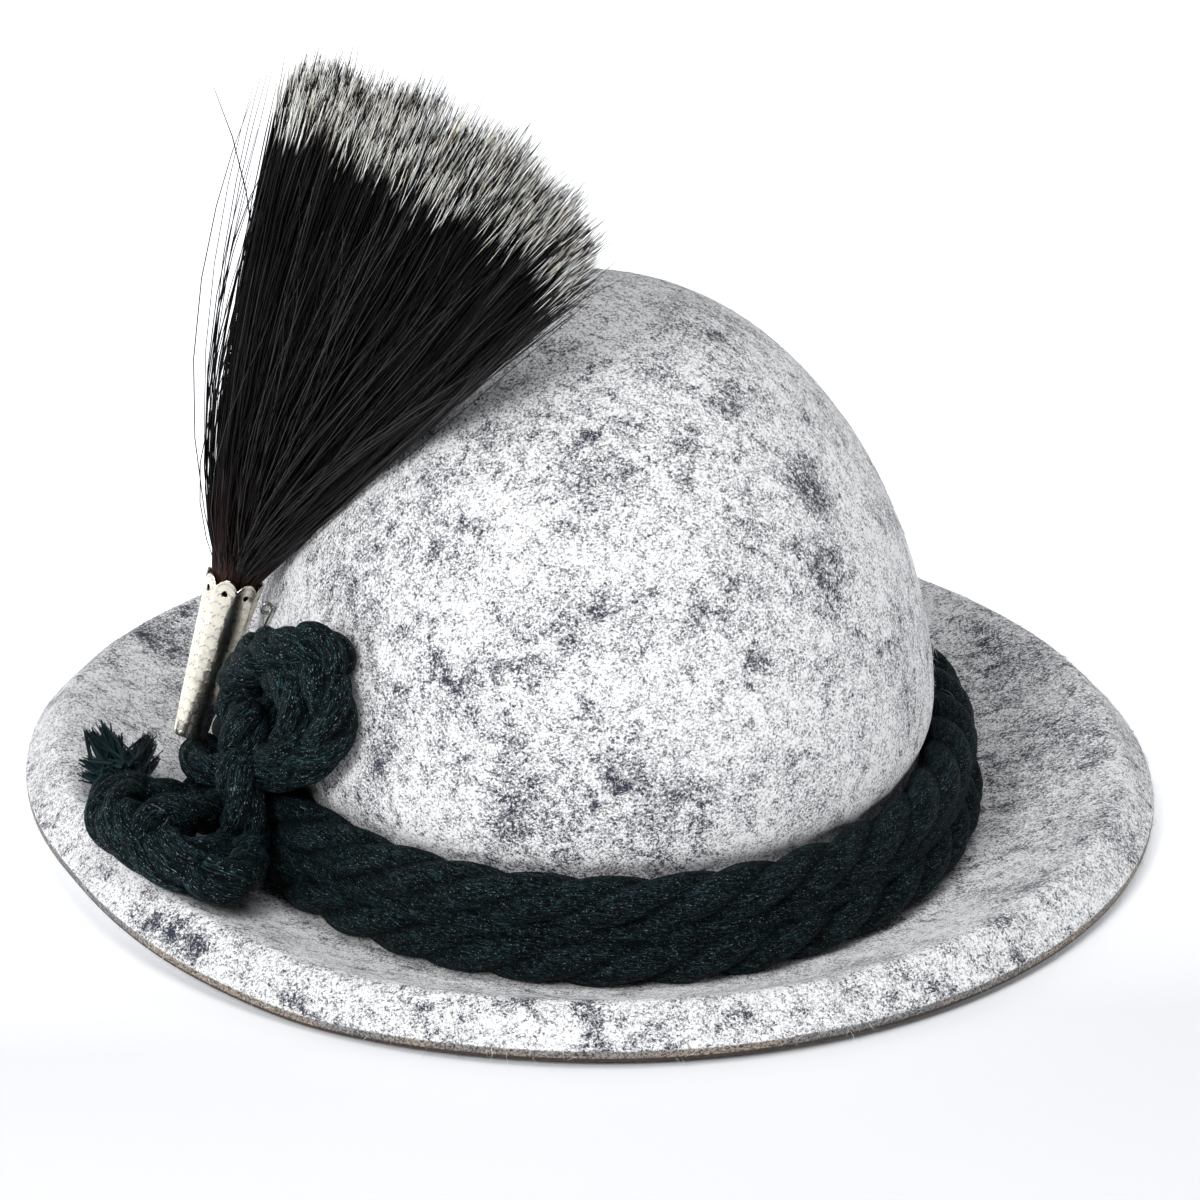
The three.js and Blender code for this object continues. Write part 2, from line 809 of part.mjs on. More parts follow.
function brushGeometry() {
  return fuse([stemGeometry(), ...lockRows.map(lockGeometry)]);
}

// Materials
function matter(name, color, roughness, metalness) {
  return new THREE.MeshStandardMaterial({ name, color, roughness, metalness });
}

function pieceOf(name, geometry, material) {
  const flat = geometry.index ? geometry.toNonIndexed() : geometry;
  flat.computeVertexNormals();
  const mesh = new THREE.Mesh(flat, material);
  mesh.name = name;
  return mesh;
}

const hat = new THREE.Group();
hat.name = "hat";
hat.add(pieceOf("felt_body", feltGeometry(), matter("felt", 0xb9babd, 0.95, 0)));

const band = new THREE.Group();
band.name = "band";
band.add(pieceOf("band_rope_lower", bandRope(lowerRopeZ, lowerOut), matter("cord", 0x0d1f22, 0.85, 0)));
band.add(pieceOf("band_rope_upper", bandRope(upperRopeZ, upperOut), matter("cord", 0x0d1f22, 0.85, 0)));
band.add(pieceOf("knot", fuse([knotLoop(), knotCross(), knotFall()]), matter("cord", 0x0e2225, 0.85, 0)));
band.add(pieceOf("knot_wrap", wrapGeometry(), matter("cord", 0x0d1f22, 0.85, 0)));
band.add(pieceOf("tail", tailGeometry(), matter("cord", 0x0f262a, 0.85, 0)));
band.add(pieceOf("tail_tassel", tasselGeometry(), matter("cord", 0x0f2a2e, 0.9, 0)));
hat.add(band);

const brush = new THREE.Group();
brush.name = "brush";
brush.add(pieceOf("brush_holder", holderGeometry(), matter("metal", 0xc9c0ac, 0.3, 1)));
brush.add(pieceOf("holder_pin", pinGeometry(), matter("wire", 0x8c8c88, 0.35, 1)));
brush.add(pieceOf("brush_hair", brushGeometry(), matter("hair", 0x15110f, 0.6, 0)));
hat.add(brush);

export default hat;
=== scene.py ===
import math

import bpy
import numpy as np
from mathutils import Matrix, Vector, noise


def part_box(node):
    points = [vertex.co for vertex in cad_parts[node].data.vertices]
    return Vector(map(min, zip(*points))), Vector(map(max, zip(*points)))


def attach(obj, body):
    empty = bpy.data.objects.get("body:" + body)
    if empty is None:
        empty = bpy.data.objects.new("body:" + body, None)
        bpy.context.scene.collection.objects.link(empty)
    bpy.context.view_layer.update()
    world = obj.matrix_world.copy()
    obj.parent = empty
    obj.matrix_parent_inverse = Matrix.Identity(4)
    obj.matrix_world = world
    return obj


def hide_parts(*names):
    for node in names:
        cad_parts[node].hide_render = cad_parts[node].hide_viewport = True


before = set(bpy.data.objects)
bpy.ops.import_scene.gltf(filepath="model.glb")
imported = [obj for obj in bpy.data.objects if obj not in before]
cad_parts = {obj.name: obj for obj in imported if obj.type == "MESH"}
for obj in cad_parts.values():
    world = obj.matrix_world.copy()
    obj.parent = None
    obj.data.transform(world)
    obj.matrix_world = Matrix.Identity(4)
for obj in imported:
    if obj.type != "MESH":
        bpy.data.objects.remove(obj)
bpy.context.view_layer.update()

bl_info = {
    "name": "Felt hat with cord band and hair brush",
    "version": (1, 0, 0),
    "blender": (4, 5, 0),
    "location": "View3D > Sidebar > Hat",
    "description": "Builds a felt hat with a twisted cord band, a knot and a hair brush",
    "category": "Add Mesh",
}

felt_low, felt_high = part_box("felt_body")

MM = 0.001

# Heights and sizes in mm, and the sleeve's depth as a share of its width
WRAP_HEIGHT = 18.4
COIL_DIAMETER = 3.4
SLEEVE_FLAT = 0.86

# Steps of a hair along its length: one inside the sleeve, then from the mouth to the tip
HAIR_STEPS = (-0.06, 0.0, 0.14, 0.3, 0.47, 0.64, 0.79, 0.9, 1.0)


def table(names, *rows):
    """Rows of values, each value under its name."""
    return tuple(dict(zip(names.split(), row)) for row in rows)


# The crown from the band up: height and width as shares of the dome
CROWN_ROWS = table(
    "height width",
    (0.0, 1.0), (0.13, 0.989), (0.27, 0.956), (0.41, 0.9), (0.55, 0.82), (0.68, 0.717),
    (0.79, 0.597), (0.88, 0.461), (0.95, 0.302), (0.987, 0.155))

# The brim from its foot to its crest: way out, and rise as a share of the crest
BRIM_ROWS = table(
    "out rise",
    (0.25, 0.0), (0.42, 0.12), (0.62, 0.36), (0.8, 0.67), (0.92, 0.9), (1.0, 1.0))

# The lip outside the crest, as shares of its reach and drop
LIP_ROWS = table(
    "out drop",
    (0.26, 0.13), (0.52, 0.42), (0.78, 0.76), (0.95, 0.95), (1.0, 1.0))

# The cut edge, from its sharp upper corner to the underside, in mm; its zone 2 rows, the lower
# corner, are painted in shade
EDGE_ROWS = table(
    "out drop zone",
    (0.2, 0.45, 0.5), (0.25, 1.2, 1.0), (0.2, 2.1, 1.0), (0.1, 2.6, 2.0), (-0.3, 3.4, 2.0),
    (-1.5, 3.9, 2.0))

# How the crest lifts or dips round the brim, as a share of its wave
WAVE_ROWS = table(
    "angle lift",
    (0, 0.0), (135, 0.0), (150, 0.35), (168, 0.85), (185, 0.9), (200, 1.0), (216, 0.35),
    (235, -0.15), (255, 0.0), (360, 0.0))

# Strands of the knot, the tail and the wrap: radius, and places along each. A place is an
# angle, a height (dome and band) or a share of the way to the crest (brim), and the way
# off the felt, in degrees and mm.
KNOT_STRANDS = {
    "under_left": (4.9, (
        ("dome", 194.5, 36.0, 6.5), ("dome", 192.5, 44.0, 7.0), ("dome", 193.5, 52.0, 7.0),
        ("dome", 198.5, 59.0, 6.6), ("dome", 205.2, 63.4, 5.0))),
    "over_top": (5.3, (
        ("dome", 193.5, 38.9, 9.0), ("dome", 195.2, 48.4, 9.5), ("dome", 202.0, 57.8, 10.0),
        ("dome", 208.4, 63.9, 10.3), ("dome", 213.4, 68.2, 9.2), ("dome", 216.6, 67.5, 6.6),
        ("dome", 215.4, 63.0, 3.8))),
    "right_outer": (5.7, (
        ("dome", 206.1, 58.9, 6.0), ("dome", 213.9, 62.0, 7.4), ("dome", 218.3, 59.0, 7.0),
        ("dome", 219.4, 53.2, 6.6), ("dome", 217.6, 46.5, 6.6), ("dome", 213.2, 40.6, 7.0),
        ("dome", 206.4, 34.5, 7.2), ("dome", 199.6, 31.0, 7.0))),
    "right_inner": (5.0, (
        ("dome", 203.5, 55.5, 6.5), ("dome", 210.5, 57.4, 9.4), ("dome", 214.0, 53.9, 10.2),
        ("dome", 213.6, 48.0, 10.0), ("dome", 210.9, 42.0, 10.0), ("dome", 206.1, 34.8, 9.8),
        ("band", 206.5, 30.5, 19.0))),
    "left_side": (4.6, (
        ("dome", 199.2, 52.1, 6.0), ("dome", 196.8, 48.7, 8.2), ("dome", 196.4, 43.0, 9.2),
        ("dome", 198.0, 38.2, 9.8), ("dome", 201.6, 35.6, 9.8), ("dome", 206.1, 36.6, 8.0))),
    "middle_back": (4.6, (
        ("dome", 199.0, 56.0, 3.4), ("dome", 197.6, 50.0, 3.6), ("dome", 197.4, 43.0, 3.6),
        ("dome", 197.4, 35.5, 4.4))),
    "middle_fill": (3.6, (
        ("dome", 203.5, 53.0, 4.4), ("dome", 202.4, 47.0, 4.4), ("dome", 202.0, 40.0, 5.0),
        ("dome", 201.0, 34.5, 5.4))),
    "falling": (5.7, (
        ("dome", 202.6, 48.4, 11.0), ("dome", 203.6, 43.0, 13.0), ("dome", 203.6, 35.6, 13.5),
        ("band", 207.4, 32.9, 20.5), ("band", 208.4, 27.0, 21.0), ("brim", 208.6, 0.52, 14.0),
        ("brim", 213.0, 0.62, 11.0), ("brim", 217.4, 0.8, 8.5), ("brim", 217.4, 0.91, 7.0),
        ("brim", 214.4, 0.93, 6.5))),
}

TAIL_STRANDS = {
    "tail_top": (4.9, (
        ("band", 195.6, 19.1, 15.0), ("brim", 202.2, 0.6, 14.0), ("brim", 206.2, 0.8, 14.0),
        ("brim", 208.0, 0.91, 14.6), ("brim", 208.6, 0.97, 14.4), ("brim", 209.2, 1.0, 12.0),
        ("brim", 209.6, 0.98, 8.5), ("brim", 210.4, 0.95, 6.0))),
    "tail_right": (5.0, (
        ("band", 205.0, 14.0, 20.0), ("brim", 209.1, 0.63, 10.5), ("brim", 213.6, 0.85, 10.0),
        ("brim", 214.5, 0.96, 10.2), ("brim", 212.7, 0.99, 10.2), ("brim", 210.2, 0.98, 8.0))),
    "tail_low": (4.9, (
        ("brim", 212.4, 0.76, 6.0), ("brim", 214.6, 0.95, 5.8), ("brim", 213.4, 1.0, 5.8),
        ("brim", 210.6, 1.02, 5.8), ("brim", 207.6, 1.04, 5.8), ("brim", 204.9, 1.06, 6.0),
        ("brim", 202.0, 1.03, 6.6), ("brim", 199.6, 0.98, 7.4), ("brim", 196.9, 0.93, 7.6))),
    "tail_mid": (4.9, (
        ("brim", 206.2, 0.78, 9.4), ("brim", 208.4, 0.92, 9.2), ("brim", 209.4, 1.0, 8.6),
        ("brim", 207.2, 1.03, 9.0), ("brim", 204.2, 1.01, 9.4), ("brim", 200.7, 0.95, 9.0),
        ("brim", 195.1, 0.86, 8.2))),
    "tail_back": (4.8, (
        ("band", 192.0, 12.0, 20.0), ("brim", 192.2, 0.6, 8.0), ("brim", 194.5, 0.7, 8.4),
        ("brim", 196.5, 0.8, 8.4), ("brim", 194.6, 0.84, 7.8), ("brim", 189.6, 0.8, 7.0))),
}

WRAP_STRANDS = {
    "wrap_high": (4.1, (
        ("band", 197.5, 29.0, 12.0), ("band", 194.0, 26.6, 18.6), ("band", 189.0, 24.6, 20.0),
        ("band", 184.5, 23.2, 18.4), ("band", 182.5, 22.0, 13.0))),
    "wrap_low": (4.2, (
        ("band", 199.5, 22.0, 13.0), ("band", 195.0, 18.4, 19.0), ("band", 190.0, 15.6, 20.4),
        ("band", 185.5, 13.8, 18.4), ("band", 183.0, 12.0, 13.0))),
}

# Tips of the tassel's locks: place on the brim, height above it, and thickness in mm
TASSEL_LOCKS = table(
    "angle share up thick",
    (186.7, 0.955, 12.0, 1.7), (185.2, 0.91, 13.0, 1.8), (185.3, 0.87, 12.0, 1.7),
    (190.7, 0.975, 8.0, 1.8), (192.8, 0.985, 6.0, 1.8), (183.6, 0.78, 9.0, 1.6),
    (178.4, 0.68, 10.0, 1.5), (177.6, 0.64, 9.0, 1.6), (178.1, 0.59, 6.0, 1.6),
    (188.0, 0.9, 9.0, 1.8))

# Dark smudges of the felt and painted shade: on the dome (height in mm), the brim (share)
# or the lip (share), size in mm, and strength. The small rows are dark spots of the felt;
# the wide rows on the dome at 262 degrees above the band and on the brim from -22 to 20
# degrees are painted shade, and the wide one at 217 degrees is the brush's painted shadow.
SMUDGES_AND_SHADE = table(
    "on angle at size dark",
    ("dome", 292, 128, 6, 0.6), ("dome", 291, 117, 6, 0.6), ("dome", 311, 121, 6, 0.7),
    ("dome", 321, 102, 6, 0.9), ("dome", 324, 108, 4, 0.6), ("dome", 314, 82, 7, 1.0),
    ("dome", 316, 88, 5, 0.8), ("dome", 293, 90, 6, 0.7), ("dome", 283, 88, 5, 0.6),
    ("dome", 267, 54, 7, 0.8), ("dome", 269, 57, 4, 0.7), ("dome", 278, 47, 5, 0.7),
    ("dome", 250, 39, 6, 0.8), ("dome", 226, 47, 6, 0.6), ("dome", 262, 42, 26, 0.42),
    ("dome", 300, 95, 24, 0.3), ("dome", 217, 96, 24, 0.38), ("dome", 221, 106, 7, 0.6),
    ("dome", 262, 122, 22, 0.3), ("dome", 240, 60, 16, 0.2), ("dome", 30, 70, 10, 0.6),
    ("dome", 60, 95, 7, 0.7), ("dome", 95, 55, 12, 0.6), ("dome", 120, 100, 6, 0.7),
    ("dome", 140, 90, 9, 0.5), ("dome", 165, 60, 8, 0.5), ("brim", 26, 0.81, 5, 1.0),
    ("brim", 29, 0.84, 4, 0.9), ("brim", 23, 0.63, 3, 1.0), ("brim", -7, 0.88, 6, 0.9),
    ("brim", -17, 1.0, 4, 0.6), ("brim", -12, 0.47, 4, 0.7), ("brim", -39, 0.87, 4, 0.7),
    ("brim", -49, 0.96, 4, 0.6), ("brim", 0, 0.72, 26, 0.6), ("brim", 20, 0.75, 24, 0.55),
    ("brim", -22, 0.65, 20, 0.35), ("brim", 235, 0.7, 5, 0.4), ("brim", 259, 0.61, 4, 0.4),
    ("brim", 147, 0.9, 9, 0.6), ("brim", 155, 0.95, 6, 0.6), ("brim", 120, 0.8, 12, 0.5),
    ("brim", 75, 0.9, 10, 0.5), ("lip", 218, 0.5, 4.8, 1.3), ("lip", 214.5, 0.53, 4.0, 1.2),
    ("lip", 221, 0.49, 4.0, 1.1), ("lip", 233, 0.66, 2.8, 1.1), ("lip", 247, 0.39, 2.4, 0.9),
    ("lip", 255, 0.1, 3.2, 0.8), ("lip", 263, 0.15, 3.2, 0.8), ("lip", 278, 0.42, 3.2, 0.9),
    ("lip", 284, 0.49, 2.8, 0.8), ("lip", 299, 0.58, 3.2, 0.8), ("lip", 310, 0.71, 4.0, 0.8),
    ("lip", 334, 0.69, 2.4, 0.6), ("lip", 40, 0.5, 4.8, 0.8), ("lip", 100, 0.5, 5.6, 0.8),
    ("lip", 165, 0.4, 4.0, 0.8))

# Hairs of the brush from its upright side to its low side: lean from upright in degrees,
# front and reach as shares of the brush's length, bow along the sleeve and sideways in mm
BRUSH_ROWS = table(
    "lean front reach bow aside",
    (6.8, 0.27, 0.985, 0.0, -7.5), (7.8, 0.27, 0.99, 0.0, -7.0), (11.0, 0.27, 0.995, 0.0, -5.0),
    (16.2, 0.29, 1.0, 1.0, -2.0), (22.6, 0.31, 1.005, 3.0, 0.0), (29.0, 0.33, 1.0, 4.0, 0.0),
    (35.0, 0.36, 0.98, 4.0, 0.0), (38.5, 0.38, 0.95, 4.0, 0.0), (40.5, 0.39, 0.92, 4.0, 0.0))

# Stray hairs beside the brush
STRAY_ROWS = table(
    "lean front reach bow aside",
    (-1.5, 0.25, 0.95, 0.0, 20.0), (1.6, 0.27, 0.93, 0.0, -19.0), (2.4, 0.27, 0.8, 4.0, -13.0),
    (3.4, 0.3, 0.86, 0.0, -16.0), (3.0, 0.25, 0.7, -4.0, -11.0), (2.0, 0.28, 0.62, 0.0, -10.0),
    (4.2, 0.3, 0.76, 0.0, -17.0), (1.0, 0.22, 0.56, 0.0, -8.0))


# What the settings have in common
def length_setting(name, description, default):
    return bpy.props.FloatProperty(
        name=name, description=description, default=default, unit="LENGTH")


def power_setting(name, description, default):
    return bpy.props.FloatProperty(
        name=name, description=description, default=default, unit="POWER")


def colour_setting(name, description, *default):
    return bpy.props.FloatVectorProperty(
        name=name, description=description, subtype="COLOR", size=3, default=default)


def count_setting(name, description, default, low, high):
    return bpy.props.IntProperty(
        name=name, description=description, default=default, min=low, max=high)


class HatFeltSettings(bpy.types.PropertyGroup):
    crown_width: length_setting("Crown width", "Across the crown above the band", 0.1708)
    crown_length: length_setting("Crown length", "Along the crown above the band", 0.212)
    crown_height: length_setting(
        "Crown height", "From the table to the top of the crown", felt_high[2])
    crown_forward: length_setting(
        "Crown set forward", "From the brim's middle to the crown's", 0.0093)
    band_recess: length_setting("Band recess", "How far the cord pulls the crown in", 0.0039)
    brim_width: length_setting(
        "Brim width", "Across the whole brim", felt_high[0] - felt_low[0])
    brim_length: length_setting(
        "Brim length", "Along the whole brim", felt_high[1] - felt_low[1])
    crest_height: length_setting(
        "Crest height", "Height of the upturned brim's crest", 0.013)
    lip_reach: length_setting("Lip reach", "How far the lip goes out from the crest", 0.009)
    lip_drop: length_setting("Lip drop", "How far the lip falls from the crest", 0.008)
    wave: length_setting("Brim wave", "How far the brim lifts at its highest place", 0.006)
    thickness: length_setting("Felt thickness", "Thickness of the felt", 0.0026)
    columns: count_setting(
        "Columns", "Columns of the felt before it is smoothed", 72, 24, 120)
    light_wool: colour_setting("Light wool", "Colour of the light fibres", 0.62, 0.62, 0.63)
    dark_wool: colour_setting("Dark wool", "Colour of the dark fibres", 0.032, 0.037, 0.055)
    cut_edge: colour_setting("Cut edge", "Colour of the brim's cut edge", 0.42, 0.36, 0.3)
    # A dark brown that paints shade on the cut edge's lower corner
    under_edge_shade: colour_setting(
        "Under edge", "Colour of the edge's lower corner", 0.06, 0.04, 0.03)
    fuzz: count_setting(
        "Fuzz fibres", "Number of short fibres that stand off the felt", 9500, 0, 15000)
    fuzz_length: length_setting("Fuzz length", "Length of a short fibre", 0.0024)


class HatCordSettings(bpy.types.PropertyGroup):
    rope_diameter: length_setting(
        "Rope diameter", "Diameter of each twisted rope of the band", 0.0136)
    rope_turns: count_setting(
        "Rope turns", "Full turns of each rope round the crown", 12, 4, 30)
    rope_lean: length_setting(
        "Rope lean", "How far the lower rope stands out from the upper one", 0.0016)
    gap: length_setting("Gap", "Room between the ropes and the felt", 0.00035)
    yarn: colour_setting("Yarn", "Colour of the yarn", 0.0026, 0.0068, 0.0076)
    yarn_light: colour_setting(
        "Light yarn", "Colour of the yarn's upper fibres", 0.009, 0.0195, 0.023)
    yarn_sheen: colour_setting("Yarn sheen", "Colour of the sheen on the yarn", 0.2, 0.42, 0.5)
    loose: count_setting("Loose fibres", "Number of loose fibres on the cords", 3600, 0, 8000)


class HatBrushSettings(bpy.types.PropertyGroup):
    sleeve_height: length_setting("Sleeve height", "Height of the metal sleeve", 0.0376)
    mouth_diameter: length_setting("Mouth diameter", "Across the sleeve's mouth", 0.0146)
    foot_diameter: length_setting("Foot diameter", "Across the sleeve's foot", 0.0084)
    scallops: count_setting("Scallops", "Scallops round the sleeve's mouth", 8, 3, 16)
    scallop_height: length_setting("Scallop height", "Height of a scallop", 0.0024)
    hole_diameter: length_setting("Hole diameter", "Diameter of the hole in a scallop", 0.0013)
    sleeve_angle: bpy.props.FloatProperty(
        name="Sleeve place", description="Where the sleeve stands round the crown, in degrees",
        default=185.3)
    metal: colour_setting("Sleeve metal", "Colour of the sleeve", 0.86, 0.81, 0.7)
    hair_length: length_setting("Hair length", "Length of the hair above the sleeve", 0.15)
    white_length: length_setting("White tips", "Length of a hair's white tip", 0.009)
    hairs: count_setting(
        "Hairs", "Number of hairs in each half of the brush", 3400, 200, 4500)
    hair_black: colour_setting("Black hair", "Colour of the hair", 0.0025, 0.002, 0.002)
    hair_white: colour_setting("White hair", "Colour of the hair's tips", 1.0, 1.0, 0.97)
    hair_root: colour_setting(
        "Hair root", "Colour of the hair near the sleeve", 0.05, 0.017, 0.012)


class HatStageSettings(bpy.types.PropertyGroup):
    floor: colour_setting("Floor", "Colour of the floor", 0.93, 0.94, 0.96)
    lens: bpy.props.FloatProperty(
        name="Lens", description="Focal length of the camera in mm", default=206.4)
    key_power: power_setting("Key light", "Power of the large front light", 17.5)
    top_power: power_setting("Top light", "Power of the overhead light", 10.0)


def unit(vector):
    return vector / np.linalg.norm(vector)


def column(rows, name):
    return [row[name] for row in rows]


def oval(half_x, half_y, middle, angle, z):
    """A point of a level oval whose middle lies on the Y axis."""
    t = math.radians(angle)
    return np.array([half_x * math.cos(t), middle + half_y * math.sin(t), z])


class HatShape:
    """Places on the crown, beside the band and above the brim, in mm and degrees."""

    def __init__(self):
        felt = bpy.context.scene.hat_felt
        cord = bpy.context.scene.hat_cord
        self.crown_a = felt.crown_width / 2 / MM
        self.crown_b = felt.crown_length / 2 / MM
        self.crown_y = -felt.crown_forward / MM
        self.height = felt.crown_height / MM
        self.foot_a = self.crown_a - felt.band_recess / MM
        self.foot_b = self.crown_b - felt.band_recess / MM
        self.crest_a = (felt.brim_width / 2 - felt.lip_reach) / MM
        self.crest_b = (felt.brim_length / 2 - felt.lip_reach) / MM
        self.crest = felt.crest_height / MM
        self.reach = felt.lip_reach / MM
        self.drop = felt.lip_drop / MM
        self.wave = felt.wave / MM
        self.thick = felt.thickness / MM
        self.rope = cord.rope_diameter / 2 / MM
        self.gap = cord.gap / MM
        lean = cord.rope_lean / MM
        self.lower_z = self.thick + self.gap + self.rope
        self.upper_z = self.lower_z + math.sqrt((1.97 * self.rope) ** 2 - lean ** 2)
        self.band_top = self.upper_z + self.rope + self.gap
        self.lower_out = self.gap + self.rope + lean
        self.upper_out = self.gap + self.rope
        self.band_out = self.gap + self.rope * 2 + lean

    def outward(self, angle):
        return unit(oval(self.foot_b, self.foot_a, 0.0, angle, 0.0))

    def foot(self, angle, z=0.0):
        return oval(self.foot_a, self.foot_b, self.crown_y, angle, z)

    def band(self, angle, z, out):
        return self.foot(angle, z) + self.outward(angle) * out

    def on_dome(self, angle, z):
        share = (z - self.band_top) / (self.height - self.band_top)
        share = min(max(share, 0), 0.98)
        wide = np.interp(share, column(CROWN_ROWS, "height"), column(CROWN_ROWS, "width"))
        return oval(self.crown_a * wide, self.crown_b * wide, self.crown_y, angle, z)

    def dome(self, angle, z, out):
        along = self.on_dome(angle + 1, z) - self.on_dome(angle - 1, z)
        up = self.on_dome(angle, z + 4) - self.on_dome(angle, z - 4)
        return self.on_dome(angle, z) + unit(np.cross(along, up)) * out

    def lift(self, angle, share):
        lift = np.interp(np.mod(angle, 360), column(WAVE_ROWS, "angle"), column(WAVE_ROWS, "lift"))
        way = np.clip((share - 0.25) / 0.75, 0, 1)
        return lift * self.wave * way * way * (3 - 2 * way)

    def on_brim(self, angle, share):
        crest = oval(self.crest_a, self.crest_b, 0.0, angle, 0.0)
        point = self.foot(angle) * (1 - share) + crest * share
        rise = np.interp(share, [0.0] + column(BRIM_ROWS, "out"), [0.0] + column(BRIM_ROWS, "rise"))
        point[2] = self.thick + (self.crest - self.thick) * rise + self.lift(angle, share)
        return point

    def on_lip(self, angle, share):
        steps = np.linspace(0, 1, len(LIP_ROWS) + 1)
        out = np.interp(share, steps, [0.0] + column(LIP_ROWS, "out")) * self.reach
        drop = np.interp(share, steps, [0.0] + column(LIP_ROWS, "drop")) * self.drop
        z = self.crest + self.lift(angle, 1.0) - drop
        return oval(self.crest_a + out, self.crest_b + out, 0.0, angle, z)

    def brim(self, angle, share, up):
        along = self.on_brim(angle + 1, share) - self.on_brim(angle - 1, share)
        out = self.on_brim(angle, share + 0.04) - self.on_brim(angle, share - 0.04)
        return self.on_brim(angle, share) + unit(np.cross(out, along)) * up

    def place(self, row):
        return getattr(self, row[0])(*row[1:])


# Blender steps that the pieces share
def clear_selection():
    if bpy.context.mode != "OBJECT":
        bpy.ops.object.mode_set(mode="OBJECT")
    bpy.ops.object.select_all(action="DESELECT")


def make_active(piece):
    clear_selection()
    piece.select_set(True)
    bpy.context.view_layer.objects.active = piece


def shade_smooth(piece):
    make_active(piece)
    bpy.ops.object.shade_smooth()


def apply_modifier(piece, kind, **settings):
    make_active(piece)
    modifier = piece.modifiers.new(kind.title(), kind)
    for name, value in settings.items():
        setattr(modifier, name, value)
    bpy.ops.object.modifier_apply(modifier=modifier.name)


def piece_from(name, points, faces):
    """A smooth mesh piece from points in mm and faces."""
    mesh = bpy.data.meshes.new(name)
    mesh.from_pydata((points * MM).tolist(), [], faces)
    mesh.update()
    piece = bpy.data.objects.new(name, mesh)
    bpy.context.scene.collection.objects.link(piece)
    shade_smooth(piece)
    return piece


def mark(piece, name, values, kind="FLOAT"):
    """Stores a value for each point of a piece, for its finish to read."""
    layer = piece.data.attributes.new(name, kind, "POINT")
    field = "vector" if kind == "FLOAT_VECTOR" else "value"
    layer.data.foreach_set(field, np.asarray(values, dtype=np.float32).ravel())


def finish_piece(piece, material, slot, *nodes):
    piece.data.materials.clear()
    piece.data.materials.append(material)
    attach(piece, "root")
    if nodes:
        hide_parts(*nodes)


def values_of(items, name, columns=1):
    """One named value of each point or face of a mesh."""
    values = np.empty(len(items) * columns)
    items.foreach_get(name, values)
    return values.reshape(-1, columns) if columns > 1 else values


def points_of(piece):
    return values_of(piece.data.vertices, "co", 3) / MM


def faces_of(name):
    """Middles in mm, directions and areas of the faces of a piece."""
    faces = bpy.data.objects[name].data.polygons
    middles = values_of(faces, "center", 3) / MM
    return middles, values_of(faces, "normal", 3), values_of(faces, "area")


def move_points(piece, points):
    piece.data.vertices.foreach_set("co", (points * MM).ravel())
    piece.data.update()


def extruded_rings(name, rings, columns):
    """A circle drawn out ring by ring, each ring an oval with its own middle and height."""
    clear_selection()
    bpy.ops.mesh.primitive_circle_add(vertices=columns, radius=1, location=(0, 0, 0))
    piece = bpy.context.object
    piece.name = name
    bpy.ops.object.mode_set(mode="EDIT")
    bpy.ops.mesh.select_all(action="SELECT")
    last = (1.0, 1.0, 0.0, 0.0)
    for i, ring in enumerate(rings):
        ring = tuple(value * MM for value in ring)
        if i > 0:
            bpy.ops.mesh.extrude_edges_move()
        bpy.ops.transform.resize(
            value=(ring[0] / last[0], ring[1] / last[1], 1),
            center_override=(0, last[2], last[3]))
        bpy.ops.transform.translate(value=(0, ring[2] - last[2], ring[3] - last[3]))
        last = ring
    bpy.ops.object.mode_set(mode="OBJECT")
    return piece


def edit_points(piece, numbers, step, **settings):
    """Selects only the points with these numbers, and does one edit step with them."""
    make_active(piece)
    bpy.ops.object.mode_set(mode="EDIT")
    bpy.ops.mesh.select_mode(type="VERT")
    bpy.ops.mesh.select_all(action="DESELECT")
    bpy.ops.object.mode_set(mode="OBJECT")
    for i in numbers:
        piece.data.vertices[int(i)].select = True
    bpy.ops.object.mode_set(mode="EDIT")
    step(**settings)
    bpy.ops.object.mode_set(mode="OBJECT")


def face_outwards(piece):
    make_active(piece)
    bpy.ops.object.mode_set(mode="EDIT")
    bpy.ops.mesh.select_all(action="SELECT")
    bpy.ops.mesh.normals_make_consistent(inside=False)
    bpy.ops.object.mode_set(mode="OBJECT")


# Shapes of cords and hair
def way_along(path):
    """How far along a path each of its points lies."""
    return np.concatenate([[0], np.cumsum(np.linalg.norm(np.diff(path, axis=0), axis=1))])


def smooth_path(points, step):
    """Points at even steps on a smooth curve through the given points."""
    points = np.asarray(points, dtype=float)
    ends = np.vstack([2 * points[0] - points[1], points, 2 * points[-1] - points[-2]])
    fine = []
    for i in range(1, len(ends) - 2):
        p0, p1, p2, p3 = ends[i - 1:i + 3]
        for t in np.linspace(0, 1, 24, endpoint=False):
            fine.append(0.5 * (2 * p1 + (p2 - p0) * t + (2 * p0 - 5 * p1 + 4 * p2 - p3) * t ** 2
                               + (3 * p1 - p0 - 3 * p2 + p3) * t ** 3))
    fine.append(points[-1])
    fine = np.array(fine)
    way = way_along(fine)
    count = max(int(way[-1] / step), 4)
    at = np.linspace(0, way[-1], count + 1)
    return np.stack([np.interp(at, way, fine[:, k]) for k in range(3)], axis=1)


